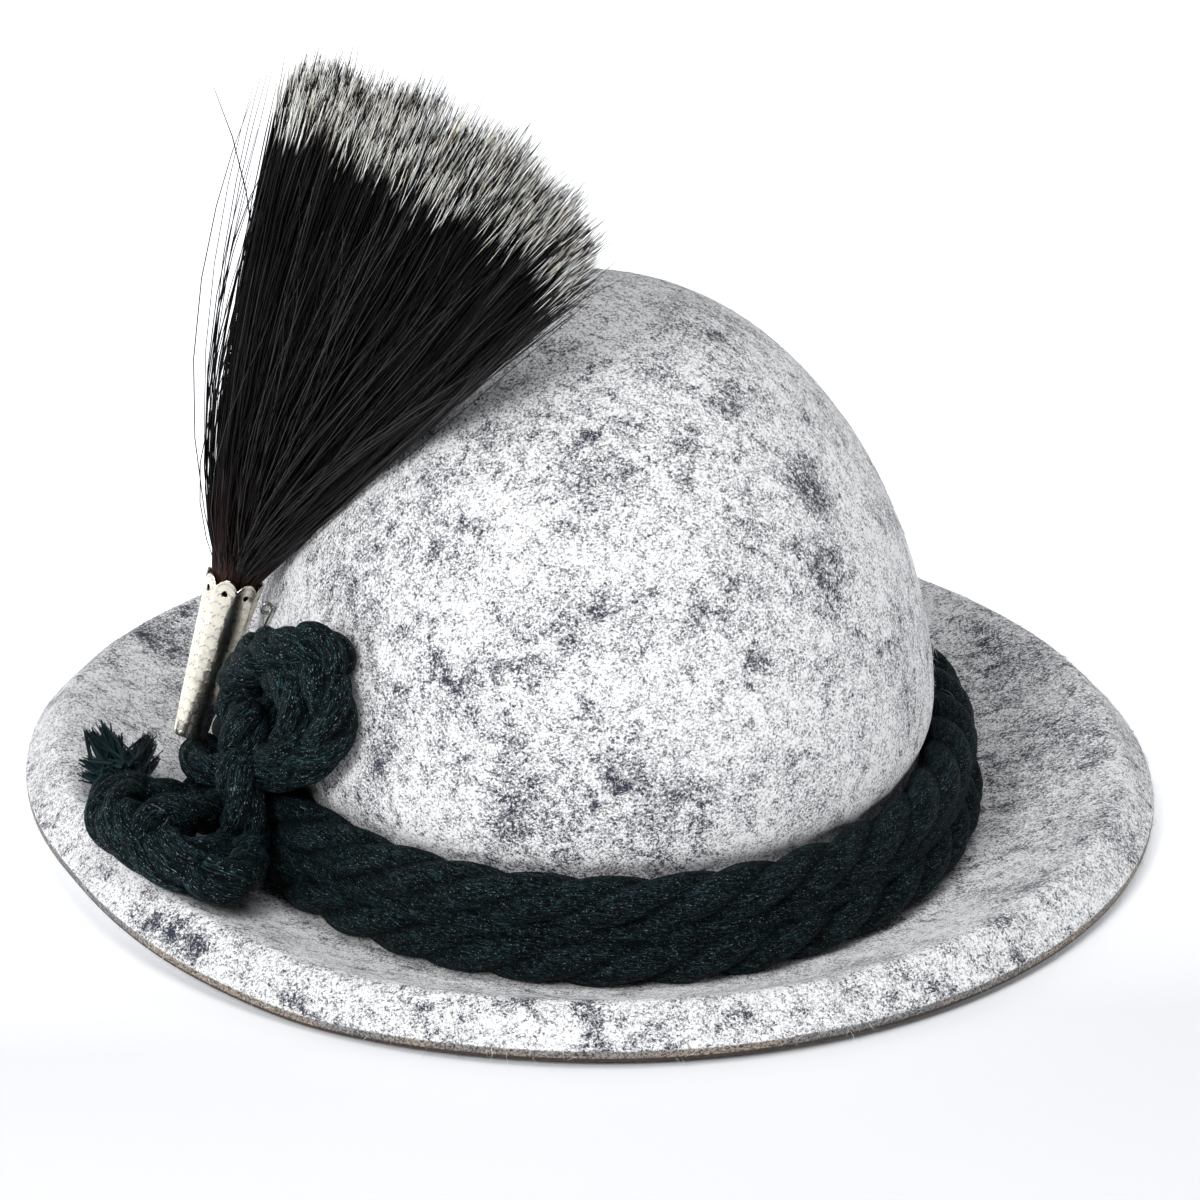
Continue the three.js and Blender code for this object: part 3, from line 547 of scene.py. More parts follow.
def carried_frames(path, closed=False):
    """Sideways directions that turn as little as they can along a path."""
    if closed:
        tangent = np.roll(path, -1, axis=0) - np.roll(path, 1, axis=0)
    else:
        tangent = np.gradient(path, axis=0)
    tangent /= np.linalg.norm(tangent, axis=1)[:, None]
    helper = np.array([0.0, 0.0, 1.0])
    if abs(tangent[0] @ helper) > 0.9:
        helper = np.array([1.0, 0.0, 0.0])
    side = unit(helper - tangent[0] * (helper @ tangent[0]))
    sides = []
    for direction in tangent:
        side = unit(side - direction * (side @ direction))
        sides.append(side)
    sides = np.array(sides)
    other = np.cross(tangent, sides)
    if closed:
        back = unit(sides[-1] - tangent[0] * (sides[-1] @ tangent[0]))
        turn = math.atan2(back @ other[0], back @ sides[0])
        spread = -turn * np.arange(len(path))[:, None] / len(path)
        sides, other = (sides * np.cos(spread) + other * np.sin(spread),
                        other * np.cos(spread) - sides * np.sin(spread))
    return sides, other


def wobble(values, seed, waves):
    """A soft irregular wave between -1 and 1 along a strand."""
    random = np.random.default_rng(seed)
    total = np.zeros_like(values)
    for k in range(waves):
        total += np.sin(values * random.uniform(0.12, 0.5) + random.uniform(0, 6.3))
    return total / waves


def tube_faces(count, sides, closed=False):
    """Faces between the rings of a tube, which is closed in itself or has a cap at each end."""
    index = np.arange(count * sides).reshape(count, sides)
    after = np.roll(index, -1, axis=0) if closed else index[1:]
    before = index if closed else index[:-1]
    corners = [before, np.roll(before, -1, axis=1), np.roll(after, -1, axis=1), after]
    faces = np.stack(corners, axis=2).reshape(-1, 4).tolist()
    if not closed:
        faces += [index[0][::-1].tolist(), index[-1].tolist()]
    return faces


def strand(path, radius, yarns, twist, sides=30, seed=0, closed=False, frames=None):
    """A soft strand of yarns: points, faces and the place of each point in its yarns."""
    way = way_along(path)
    first, second = frames if frames is not None else carried_frames(path, closed)
    angle = np.linspace(0, 2 * math.pi, sides, endpoint=False)[None, :]
    along = way[:, None]
    if closed:
        turns = round(twist * way[-1] * yarns / (2 * math.pi))
        twist = turns * 2 * math.pi / yarns / (way[-1] * len(path) / (len(path) - 1))
    laid = angle - twist * along
    ridge = np.abs(np.sin(laid * yarns / 2))
    size = radius * (1 - 0.085 * (1 - ridge) ** 2.2)
    if not closed:
        size = size * (1 + 0.035 * wobble(along, seed, 4))
        size = size * (1 + 0.02 * wobble(laid * 9 + along * 0.4, seed + 1, 5))
        end = np.minimum(along, way[-1] - along)
        size = size * np.sqrt(np.clip(0.12 + end / (radius * 1.1), 0, 1))
    points = (path[:, None, :] + first[:, None, :] * (size * np.cos(angle))[:, :, None]
              + second[:, None, :] * (size * np.sin(angle))[:, :, None])
    yarn = np.stack([np.broadcast_to(along, size.shape), radius * np.cos(laid),
                     radius * np.sin(laid)], axis=2)
    return points.reshape(-1, 3), tube_faces(len(path), sides, closed), yarn.reshape(-1, 3)


def creased(part, line, radius, low=0.6, high=0.92):
    """Adds how far a strand's points lie in the creases of its cord, 0 deep and 1 outside, for the
    painted shade of the creases.
    """
    points, faces, yarn = part
    rings = points.reshape(len(line), -1, 3)
    away = np.linalg.norm(rings - line[:, None], axis=2) / radius
    share = np.clip((away - low) / (high - low), 0, 1)
    crease_shade = share * share * (3 - 2 * share)
    return points, faces, np.column_stack([yarn, crease_shade.ravel()])


def plied(path, radius, seed):
    """A soft cord of three strands twisted round each other along a path."""
    pitch = 34.0
    thin = 0.6 * radius
    first, second = carried_frames(path)
    way = way_along(path)
    parts = []
    for k in range(3):
        turn = 2 * math.pi * (way / pitch + k / 3 + seed * 0.17)
        turn = turn + 0.5 * wobble(way, seed * 7 + k, 3)
        off = (first * np.cos(turn)[:, None] + second * np.sin(turn)[:, None]) * (radius - thin)
        parts.append(creased(strand(path + off, thin, 7, 0.06, seed=seed * 5 + k), path, radius))
    return parts


def cord_piece(name, parts, finish, node_name):
    """One piece from the strands of a cord, with their yarns and creases marked; the finish paints
    shade in the creases.
    """
    points, faces, marks = [], [], []
    start = 0
    for part_points, part_faces, part_marks in parts:
        points.append(part_points)
        marks.append(part_marks)
        faces.extend([[i + start for i in face] for face in part_faces])
        start += len(part_points)
    marks = np.concatenate(marks)
    piece = piece_from(name, np.concatenate(points), faces)
    mark(piece, "yarn", marks[:, :3], "FLOAT_VECTOR")
    mark(piece, "crease_shade", marks[:, 3])
    finish_piece(piece, finish, "cord", node_name)


def plied_piece(name, strands, seed, finish, node_name):
    """One piece from a table of plied strands."""
    shape = HatShape()
    swell = 1.04
    parts = []
    for k, (radius, places) in enumerate(strands.values()):
        path = smooth_path([shape.place(place) for place in places], 0.9)
        parts.extend(plied(path, radius * swell, seed + k * 3))
    cord_piece(name, parts, finish, node_name)


def thin_piece(name, paths, radii, marks, finish, slot, *nodes, sides=3):
    """One piece of many thin closed tubes, with a mark for each tube or each of its steps."""
    count, steps = paths.shape[:2]
    tangent = np.gradient(paths, axis=1)
    tangent /= np.linalg.norm(tangent, axis=2)[:, :, None] + 1e-12
    helper = np.where(np.abs(tangent[:, :1, 2:3]) > 0.9, [[[1.0, 0, 0]]], [[[0, 0, 1.0]]])
    first = np.cross(tangent, helper)
    first /= np.linalg.norm(first, axis=2)[:, :, None] + 1e-12
    second = np.cross(tangent, first)
    angle = np.linspace(0, 2 * math.pi, sides, endpoint=False)
    ring = (first[:, :, None] * np.cos(angle)[None, None, :, None]
            + second[:, :, None] * np.sin(angle)[None, None, :, None])
    points = paths[:, :, None] + ring * radii[:, :, None, None]
    index = np.arange(count * steps * sides).reshape(count, steps, sides)
    a, b = index[:, :-1], index[:, 1:]
    walls = np.stack([a, np.roll(a, -1, axis=2), np.roll(b, -1, axis=2), b], axis=3)
    faces = walls.reshape(-1, 4).tolist()
    faces += index[:, 0, ::-1].tolist()
    faces += index[:, -1].tolist()
    piece = piece_from(name, points.reshape(-1, 3), faces)
    tube = np.repeat(np.arange(count), steps * sides)
    step = np.tile(np.repeat(np.arange(steps), sides), count)
    for key, values in marks.items():
        mark(piece, key, values[tube] if values.ndim == 1 else values[tube, step])
    finish_piece(piece, finish, slot, *nodes)


# Finishes
def fill_inputs(tree, made, inputs):
    """Links each input of a node that gets a socket, and sets each other one."""
    for name, value in inputs.items():
        if isinstance(value, bpy.types.NodeSocket):
            tree.links.new(value, made.inputs[name])
        else:
            made.inputs[name].default_value = value


def node(tree, kind, inputs=None, **settings):
    made = tree.nodes.new(kind)
    for name, value in settings.items():
        setattr(made, name, value)
    fill_inputs(tree, made, inputs or {})
    return made


def maths(tree, operation, *values):
    return node(tree, "ShaderNodeMath", dict(enumerate(values)), operation=operation).outputs[0]


def plus(tree, first, second):
    return maths(tree, "ADD", first, second)


def minus(tree, first, second):
    return maths(tree, "SUBTRACT", first, second)


def times(tree, first, second):
    return maths(tree, "MULTIPLY", first, second)


def mixed(tree, share, first, second):
    """The first colour at share 0 and the second at share 1."""
    first, second = (value if isinstance(value, bpy.types.NodeSocket) else (*value[:3], 1)
                     for value in (first, second))
    inputs = {0: share, 6: first, 7: second}
    return node(tree, "ShaderNodeMix", inputs, data_type="RGBA").outputs[2]


def stepped(tree, value, low, high):
    """0 below the low value, 1 above the high one, and smooth between."""
    inputs = {0: value, 1: low, 2: high}
    return node(tree, "ShaderNodeMapRange", inputs, interpolation_type="SMOOTHSTEP").outputs[0]


def ramp(tree, value, stops):
    made = node(tree, "ShaderNodeValToRGB", {0: value})
    bar = made.color_ramp
    while len(bar.elements) < len(stops):
        bar.elements.new(0.5)
    for element, (place, colour) in zip(bar.elements, stops):
        element.position = place
        element.color = (*colour[:3], 1)
    return made.outputs[0]


def grain(tree, vector, scale, detail=2.0, rough=0.5, distort=0.0):
    made = node(tree, "ShaderNodeTexNoise", {
        "Vector": vector, "Scale": scale, "Detail": detail, "Roughness": rough,
        "Distortion": distort})
    return made.outputs["Fac"]


def marked(tree, name, output="Fac"):
    """The value that mark stored for each point of a piece."""
    return node(tree, "ShaderNodeAttribute", attribute_name=name).outputs[output]


def object_place(tree):
    return node(tree, "ShaderNodeTexCoord").outputs["Object"]


def stretched(tree, vector, scale, turn=(0.0, 0.0, 0.0)):
    return node(tree, "ShaderNodeMapping", {0: vector, 2: turn, 3: scale}).outputs[0]


def bump(tree, height, strength, depth):
    inputs = {"Height": height, "Strength": strength, "Distance": depth}
    return node(tree, "ShaderNodeBump", inputs).outputs[0]


def scaled(colour, share):
    return tuple(value * share for value in colour)


def new_finish(name):
    material = bpy.data.materials.new(name)
    material.use_nodes = True
    tree = material.node_tree
    return material, tree, tree.nodes["Principled BSDF"]


def felt_finish():
    """Fibres of two wools, hair-fine dark lines, clouds, spots, smudges and painted shade."""
    felt = bpy.context.scene.hat_felt
    material, tree, shader = new_finish("mottled_wool_felt")
    place = object_place(tree)
    lay_a = stretched(tree, place, (1.0, 0.66, 1.0), (0.5, 0.9, 0.3))
    lay_b = stretched(tree, place, (0.66, 1.0, 1.0), (1.3, 0.2, 1.1))
    first = grain(tree, lay_a, 1900, 3, 0.7, 0.6)
    second = grain(tree, lay_b, 1700, 3, 0.7, 0.6)
    fibres = times(tree, plus(tree, first, second), 0.5)
    lines = []
    for lay, size in ((lay_a, 700), (lay_b, 920)):
        curls = grain(tree, lay, size, 1.5, 0.6, 1.2)
        near = maths(tree, "ABSOLUTE", minus(tree, curls, 0.5))
        lines.append(minus(tree, 1.0, stepped(tree, near, 0.0, 0.06)))
    strokes = stepped(tree, grain(tree, place, 330, 1, 0.5), 0.4, 0.56)
    line_dark = times(tree, times(tree, maths(tree, "MAXIMUM", *lines), strokes), 0.085)
    clouds = stepped(tree, grain(tree, place, 42, 5, 0.62, 0.3), 0.42, 0.7)
    spots = stepped(tree, grain(tree, place, 130, 4, 0.6, 0.8), 0.53, 0.74)
    torn = stepped(tree, grain(tree, place, 260, 5, 0.75), 0.25, 0.65)
    level = minus(tree, fibres, times(tree, clouds, 0.06))
    level = minus(tree, level, times(tree, spots, 0.1))
    # Smudges darken the wool; under the wide smudge rows this darkening is painted shade
    level = minus(tree, level, times(tree, times(tree, marked(tree, "smudge_and_shade"), torn), 0.17))
    level = plus(tree, minus(tree, level, line_dark), 0.065)
    middle = tuple(0.5 * (a + b) for a, b in zip(felt.light_wool, felt.dark_wool))
    wool = ramp(tree, level, (
        (0.4, felt.dark_wool), (0.46, middle), (0.51, felt.light_wool),
        (0.56, (0.94, 0.94, 0.95))))
    tan = stepped(tree, grain(tree, place, 25, 2), 0.4, 0.6)
    tan = mixed(tree, tan, (0.3, 0.3, 0.31), felt.cut_edge)
    light_fibre = stepped(tree, fibres, 0.4, 0.6)
    edge_wool = mixed(tree, light_fibre, (0.05, 0.045, 0.04), tan)
    # Painted shade on the lower corner of the cut edge
    painted_under_shade = mixed(
        tree, light_fibre, scaled(felt.under_edge_shade, 0.6), scaled(felt.under_edge_shade, 1.3))
    zone = marked(tree, "zone")
    colour = mixed(tree, stepped(tree, zone, 0.35, 0.75), wool, edge_wool)
    colour = mixed(tree, stepped(tree, zone, 1.2, 1.7), colour, painted_under_shade)
    colour = mixed(tree, stepped(tree, zone, 2.2, 2.8), colour, wool)
    fill_inputs(tree, shader, {
        "Base Color": colour, "Roughness": 0.92, "Specular IOR Level": 0.18,
        "Sheen Weight": 0.08, "Sheen Roughness": 0.5,
        "Normal": bump(tree, fibres, 0.55, 0.0006)})
    return material


def fuzz_finish():
    felt = bpy.context.scene.hat_felt
    material, tree, shader = new_finish("wool_fuzz")
    colour = ramp(tree, marked(tree, "shade"), (
        (0.0, felt.dark_wool), (0.25, (0.35, 0.35, 0.37)), (0.4, felt.light_wool),
        (1.0, (0.92, 0.92, 0.92))))
    fill_inputs(tree, shader, {
        "Base Color": colour, "Roughness": 0.8, "Specular IOR Level": 0.2})
    return material


def yarn_finish(name, painted_highlight_strength):
    """Drawn threads with painted glints, and painted shade in the creases of the cord."""
    cord = bpy.context.scene.hat_cord
    material, tree, shader = new_finish(name)
    lay = marked(tree, "yarn", "Vector")
    drawn = stretched(tree, lay, (0.2, 1.0, 1.0))
    short = stretched(tree, lay, (0.5, 1.0, 1.0))
    threads = grain(tree, drawn, 3.4, 4, 0.7, 0.4)
    groups = grain(tree, drawn, 0.8, 2, 0.5, 0.2)
    level = plus(tree, times(tree, threads, 0.85), times(tree, groups, 0.15))
    # The brightest threads and the glints grow with the given strength of painted highlight
    colour = ramp(tree, level, (
        (0.44, scaled(cord.yarn, 0.1)), (0.5, cord.yarn), (0.55, cord.yarn_light),
        (0.63, scaled(cord.yarn_light, 4.6 * painted_highlight_strength))))
    # Painted glints: small pale specks along the threads
    painted_glint = stepped(tree, grain(tree, short, 4.4, 0, 0.5, 0.0), 0.73, 0.8)
    colour = mixed(tree, times(tree, painted_glint, 0.5 * painted_highlight_strength), colour, (0.5, 0.6, 0.62))
    # Painted shade: darker deep in the creases of the cord
    crease_shade = plus(tree, times(tree, marked(tree, "crease_shade"), 0.65), 0.35)
    colour = mixed(tree, crease_shade, scaled(cord.yarn, 0.1), colour)
    fill_inputs(tree, shader, {
        "Base Color": colour, "Roughness": 0.62, "Specular IOR Level": 0.06,
        "Sheen Weight": 0.012 * painted_highlight_strength, "Sheen Roughness": 0.35,
        "Sheen Tint": (*cord.yarn_sheen, 1), "Normal": bump(tree, level, 0.9, 0.0012)})
    return material


def loose_yarn_finish():
    cord = bpy.context.scene.hat_cord
    material, tree, shader = new_finish("loose_yarn_fibre")
    colour = ramp(tree, marked(tree, "shade"), (
        (0.0, cord.yarn), (0.7, scaled(cord.yarn_light, 1.6)), (0.93, (0.06, 0.11, 0.12)),
        (1.0, (0.4, 0.5, 0.5))))
    fill_inputs(tree, shader, {
        "Base Color": colour, "Roughness": 0.6, "Specular IOR Level": 0.06})
    return material


def metal_finish(name, colour, rough, relief):
    """Worn metal, dark in the grooves of its relief if it has one."""
    material, tree, shader = new_finish(name)
    worn = grain(tree, object_place(tree), 260, 4, 0.6)
    dull = mixed(tree, stepped(tree, worn, 0.45, 0.75), colour, scaled(colour, 0.72))
    if relief:
        dull = mixed(tree, marked(tree, "groove"), dull, scaled(colour, 0.22))
    fill_inputs(tree, shader, {
        "Base Color": dull, "Metallic": 1.0, "Roughness": rough,
        "Normal": bump(tree, worn, 0.12, 0.0002)})
    return material


def hair_finish():
    """Black hair, reddish at its root, a few lighter ones as painted highlights, and white or cream
    tips.
    """
    brush = bpy.context.scene.hat_brush
    material, tree, shader = new_finish("brush_hair")
    shade = marked(tree, "shade")
    tip = stepped(tree, marked(tree, "white"), 0.35, 0.65)
    root = times(tree, marked(tree, "root"), shade)
    dark = mixed(tree, root, brush.hair_black, brush.hair_root)
    cream = mixed(tree, stepped(tree, shade, 0.7, 1.0), brush.hair_white, (0.85, 0.74, 0.58))
    colour = mixed(tree, tip, dark, cream)
    # Hairs with a shade near 1 turn lighter grey along their length: painted highlights
    pale = mixed(tree, stepped(tree, shade, 0.9, 0.97), colour, (0.07, 0.065, 0.062))
    fill_inputs(tree, shader, {
        "Base Color": mixed(tree, tip, pale, colour), "Roughness": 0.3,
        "Specular IOR Level": 0.2})
    return material


# Pieces
class HAT_OT_felt(bpy.types.Operator):
    """Felt body: crown, brim, lip and cut edge as one smooth sheet of its real thickness"""

    bl_idname = "hat.felt"
    bl_label = "Felt body"

    def execute(self, context):
        felt = context.scene.hat_felt
        shape = HatShape()
        rows = self.rows(shape)
        piece = extruded_rings("felt_hat", [row[:4] for row in rows], felt.columns)
        total = len(rows) * felt.columns
        for low in (0, total - felt.columns):
            edit_points(piece, range(low, low + felt.columns), bpy.ops.mesh.edge_face_add)
        shares = np.repeat([row[4] for row in rows], felt.columns)
        points = points_of(piece)
        angles = np.degrees(np.arctan2(points[:, 1] / shape.crest_b, points[:, 0] / shape.crest_a))
        points[:, 2] += shape.lift(angles, shares)
        move_points(piece, points)
        mark(piece, "zone", np.repeat([row[5] for row in rows], felt.columns))
        mark(piece, "share", shares)
        face_outwards(piece)
        apply_modifier(piece, "SUBSURF", levels=2, render_levels=2)
        self.soften(piece, shape)
        shade_smooth(piece)
        finish_piece(piece, felt_finish(), "felt", "felt_body")
        return {"FINISHED"}

    def rows(self, shape):
        """Rings from the crown's top out to the edge and back inside: half sizes, middle,
        height, share of the brim, and zone of the finish."""
        rise = shape.height - shape.band_top
        rows = []

        def add(half_x, half_y, middle, z, share=0.0, zone=0.0):
            rows.append((half_x, half_y, middle, z, share, zone))

        add(shape.crown_a * 0.05, shape.crown_b * 0.05, shape.crown_y, shape.height - 0.05)
        for row in reversed(CROWN_ROWS):
            add(shape.crown_a * row["width"], shape.crown_b * row["width"], shape.crown_y,
                shape.band_top + row["height"] * rise)
        for out, z in ((0, shape.band_top - 2.6), (0, 16.0), (0, 7.6), (1.4, 4.1),
                       (5.0, shape.thick)):
            add(shape.foot_a + out, shape.foot_b + out, shape.crown_y, z)
        for row in BRIM_ROWS:
            share = row["out"]
            add(shape.foot_a + (shape.crest_a - shape.foot_a) * share,
                shape.foot_b + (shape.crest_b - shape.foot_b) * share,
                shape.crown_y * (1 - share),
                shape.thick + (shape.crest - shape.thick) * row["rise"], share)
        for row in LIP_ROWS:
            add(shape.crest_a + shape.reach * row["out"], shape.crest_b + shape.reach * row["out"],
                0, shape.crest - shape.drop * row["drop"], 1.0)
        outer = list(rows)
        edge_x, edge_y, edge_z = rows[-1][0], rows[-1][1], rows[-1][3]
        for row in EDGE_ROWS:
            add(edge_x + row["out"], edge_y + row["out"], 0, edge_z - row["drop"], 1.0, row["zone"])
        inner = []
        for i, row in enumerate(outer[:-2]):
            before = outer[max(i - 1, 0)]
            after = outer[i + 1]
            way = unit(np.array([after[0] - before[0], after[3] - before[3]]))
            across = np.array([way[1], -way[0]]) * shape.thick
            inner.append((row[0] + across[0], row[1] + across[0], row[2],
                          max(row[3] + across[1], 0.0), row[4], 3.0))
        return rows + [row for row in reversed(inner) if row[0] > 1.0]

    def soften(self, piece, shape):
        """Gives the felt its slight unevenness, its smudges and its painted shade."""
        points = points_of(piece)
        normals = values_of(piece.data.vertices, "normal", 3)
        shares = values_of(piece.data.attributes["share"].data, "value").astype(np.float32)
        uneven = np.array([noise.noise(Vector(p * 0.018)) + 0.4 * noise.noise(Vector(p * 0.06))
                           for p in points])
        points[:, 2] += np.clip(points[:, 2] / 12, 0, 1) * uneven * 0.35 * shares
        points += normals * (uneven * 0.3 * (1 - shares))[:, None] * (points[:, 2:3] > 3)
        top = points[:, 2].max()
        high = points[:, 2] > shape.band_top
        stretch = (shape.height + 0.7 - shape.band_top) / (top - shape.band_top)
        points[high, 2] = shape.band_top + (points[high, 2] - shape.band_top) * stretch
        move_points(piece, points)
        # Dark smudges of the felt, and painted shade and shadow from the wide rows
        smudge_and_shade = np.zeros(len(points))
        for row in SMUDGES_AND_SHADE:
            middle = getattr(shape, "on_" + row["on"])(row["angle"], row["at"])
            away = np.linalg.norm(points - middle, axis=1) / row["size"]
            smudge_and_shade = np.maximum(smudge_and_shade, row["dark"] * np.exp(-away ** 2))
        mark(piece, "smudge_and_shade", smudge_and_shade)


class HAT_OT_fuzz(bpy.types.Operator):
    """Short wool fibres that stand off the felt"""

    bl_idname = "hat.fuzz"
    bl_label = "Felt fuzz"

    def execute(self, context):
        felt = context.scene.hat_felt
        count = felt.fuzz
        random = np.random.default_rng(7)
        centre, normal, area = faces_of("felt_hat")
        away = np.hypot(centre[:, 0] / (felt.brim_width / 2 / MM),
                        centre[:, 1] / (felt.brim_length / 2 / MM))
        crown_low, brim_low = 28, 3.2
        raised = centre[:, 2] > crown_low
        outside = (normal[:, 2] > -0.2) & (raised | (away > 0.72))
        inside = raised & (normal[:, 2] < -0.1)
        weight = area * np.where(outside, 1.0, 0.02)
        weight *= np.where((away > 0.93) & (normal[:, 2] > -0.8), 2.6, 1.0)
        weight[inside | (centre[:, 2] < brim_low)] = 0
        picked = random.choice(len(area), size=count, p=weight / weight.sum())
        start = centre[picked]
        up = normal[picked]
        side = np.cross(up, random.normal(size=(count, 3)))
        side /= np.linalg.norm(side, axis=1)[:, None]
        other = np.cross(up, side)
        start = start + side * random.uniform(-1.5, 1.5, (count, 1))
        start = start + other * random.uniform(-1.5, 1.5, (count, 1))
        length = felt.fuzz_length / MM * random.uniform(0.5, 1.5, (count, 1))
        stand = random.uniform(0.08, 0.75, (count, 1)) ** 1.5
        curl = random.normal(scale=0.45, size=(count, 1))
        path = np.empty((count, 3, 3))
        for k, t in enumerate(np.linspace(0, 1, 3)):
            path[:, k] = (start - up * 0.15 + side * length * t + other * length * curl * t * t
                          + up * length * stand * t * (1.25 - 0.5 * t))
        path[:, :, 2] = np.maximum(path[:, :, 2], 0.15)
        radii = np.outer(random.uniform(0.03, 0.06, count), [1, 0.9, 0.3])
        shade = np.where(random.random(count) < 0.22, random.uniform(0.0, 0.25, count),
                         random.uniform(0.4, 1.0, count))
        thin_piece("felt_fuzz", path, radii, {"shade": shade}, fuzz_finish(), "felt")
        return {"FINISHED"}


class HAT_OT_band(bpy.types.Operator):
    """Band: two closed ropes of three soft strands each"""

    bl_idname = "hat.band"
    bl_label = "Cord band"

    def execute(self, context):
        shape = HatShape()
        # The band gets weaker painted highlights and glints than the knot and tail of the same cord
        finish = yarn_finish("band_yarn", 0.8)
        parts = self.rope(shape, shape.lower_z, shape.lower_out, 0.0)
        parts.append(self.filler(shape))
        cord_piece("rope_lower", parts, finish, "band_rope_lower")
        parts = self.rope(shape, shape.upper_z, shape.upper_out, 40.0)
        cord_piece("rope_upper", parts, finish, "band_rope_upper")
        return {"FINISHED"}

    def filler(self, shape):
        """Yarn pressed into the valley between the two ropes."""
        middle_z = (shape.lower_z + shape.upper_z) / 2
        line = np.array([shape.band(a, middle_z, shape.lower_out + 0.3)
                         for a in np.arange(90, 450, 1.0)])
        part = strand(line, shape.rope * 0.56, 7, 0.05, sides=20, closed=True)
        return creased(part, line, shape.rope, 0.0, 0.7)

    def rope(self, shape, z, out, phase):
        """Three strands that turn round a core, once round the crown."""
        turns = bpy.context.scene.hat_cord.rope_turns
        fine = np.linspace(90, 450, 1441)
        way = way_along(np.array([shape.band(a, z, out) for a in fine]))
        count = 460
        at = np.arange(count) / count * way[-1]
        angle = np.interp(at, way, fine)
        middle = np.array([shape.band(a, z, out) for a in angle])
        outs = np.array([shape.outward(a) for a in angle])
        ups = np.tile([0.0, 0.0, 1.0], (count, 1))
        thick = shape.rope * 0.62
        once = at * 2 * math.pi / way[-1]
        parts = []
        for k in range(3):
            turn = np.radians(phase + 120 * k) + 2 * math.pi * turns * at / way[-1]
            turn = turn + 0.16 * np.sin(once * 7 + k)
            sway = (1 + 0.05 * np.sin(once * 11 + 2 * k))[:, None]
            swell = (1 + 0.03 * np.sin(once * 17 + k))[:, None]
            off = outs * np.cos(turn)[:, None] + ups * np.sin(turn)[:, None]
            part = strand(middle + off * (shape.rope - thick), thick * swell * sway, 10, 0.07,
                          closed=True, frames=(outs, -ups))
            parts.append(creased(part, middle, shape.rope))
        core = np.array([shape.band(a, z, out * 0.8) for a in angle[::4]])
        part = strand(core, thick, 1, 0.0, sides=10, closed=True, frames=(outs[::4], -ups[::4]))
        parts.append(creased(part, core, shape.rope))
        return parts


class HAT_OT_knot(bpy.types.Operator):
    """Knot of thick strands, its falling strand, and the wrap under the sleeve's foot"""

    bl_idname = "hat.knot"
    bl_label = "Knot"

    def execute(self, context):
        # The knot, its falling strand and the wrap get stronger painted highlights and glints than
        # the band
        finish = yarn_finish("knot_yarn", 1.25)
        plied_piece("knot_strands", KNOT_STRANDS, 31, finish, "knot")
        plied_piece("wrap_strands", WRAP_STRANDS, 31, finish, "knot_wrap")
        return {"FINISHED"}


class HAT_OT_tail(bpy.types.Operator):
    """Tail: plaited end of the cord on the brim, with its frayed tassel"""

    bl_idname = "hat.tail"
    bl_label = "Tail and tassel"

    def execute(self, context):
        # The tail gets stronger painted highlights and glints than the band
        plied_piece("tail_strands", TAIL_STRANDS, 61, yarn_finish("tail_yarn", 1.2), "tail")
        self.tassel()
        return {"FINISHED"}

    def tassel(self):
        shape = HatShape()
        random = np.random.default_rng(17)
        root = shape.brim(194.6, 0.87, 7.0)
        thin = np.array([0.5, 0.46, 0.42, 0.38, 0.32, 0.16])
        t = np.linspace(0, 1, len(thin))[:, None]
        paths, radii = [], []
        for row in TASSEL_LOCKS:
            tip = shape.brim(row["angle"], row["share"], row["up"])
            for k in range(60):
                spread = random.normal(scale=row["thick"] * 0.5, size=3)
                start = root + random.normal(scale=2.4, size=3)
                end = root + (tip - root) * random.uniform(0.78, 1.06) + spread * [1, 1, 0.6]
                bend = (start + end) / 2 + random.normal(scale=0.9, size=3)
                paths.append((1 - t) ** 2 * start + 2 * t * (1 - t) * bend + t ** 2 * end)
                radii.append(thin * random.uniform(0.7, 1.1))
        marks = {"shade": random.uniform(0.0, 0.7, len(paths))}
        thin_piece("tassel_yarn", np.array(paths), np.array(radii), marks, loose_yarn_finish(),
                   "cord", "tail_tassel", sides=4)


class HAT_OT_loose_yarn(bpy.types.Operator):
    """Loose fibres that stand off the cords"""

    bl_idname = "hat.loose_yarn"
    bl_label = "Loose yarn fibres"

    def execute(self, context):
        count = context.scene.hat_cord.loose
        random = np.random.default_rng(23)
        centres, normals, areas = [], [], []
        for name, weight in (("rope_lower", 1.0), ("rope_upper", 1.0), ("knot_strands", 1.6),
                             ("tail_strands", 1.6), ("wrap_strands", 1.2)):
            centre, normal, area = faces_of(name)
            centres.append(centre)
            normals.append(normal)
            areas.append(area * weight)
        area = np.concatenate(areas)
        picked = random.choice(len(area), size=count, p=area / area.sum())
        start = np.concatenate(centres)[picked]
        up = np.concatenate(normals)[picked]
        level = np.cross(up, [0, 0, 1.0])
        level /= np.linalg.norm(level, axis=1)[:, None] + 1e-9
        side = level + 0.45 * random.normal(size=(count, 3))
        side *= np.where(random.random((count, 1)) < 0.5, -1, 1)
        side -= up * np.sum(side * up, axis=1)[:, None]
        side /= np.linalg.norm(side, axis=1)[:, None] + 1e-9
        length = random.uniform(2.0, 5.5, (count, 1))
        stand = random.uniform(0.0, 0.32, (count, 1)) ** 1.3
        path = np.empty((count, 4, 3))
        for k, t in enumerate(np.linspace(0, 1, 4)):
            path[:, k] = (start + up * 0.04 + side * length * t
                          + up * length * stand * 4 * t * (1 - t) * 0.6 - up * 0.5 * t * t)
        radii = np.outer(random.uniform(0.03, 0.06, count), [0.5, 1, 0.9, 0.3])
        thin_piece("yarn_fibres", path, radii, {"shade": random.random(count)},
                   loose_yarn_finish(), "cord")
        return {"FINISHED"}


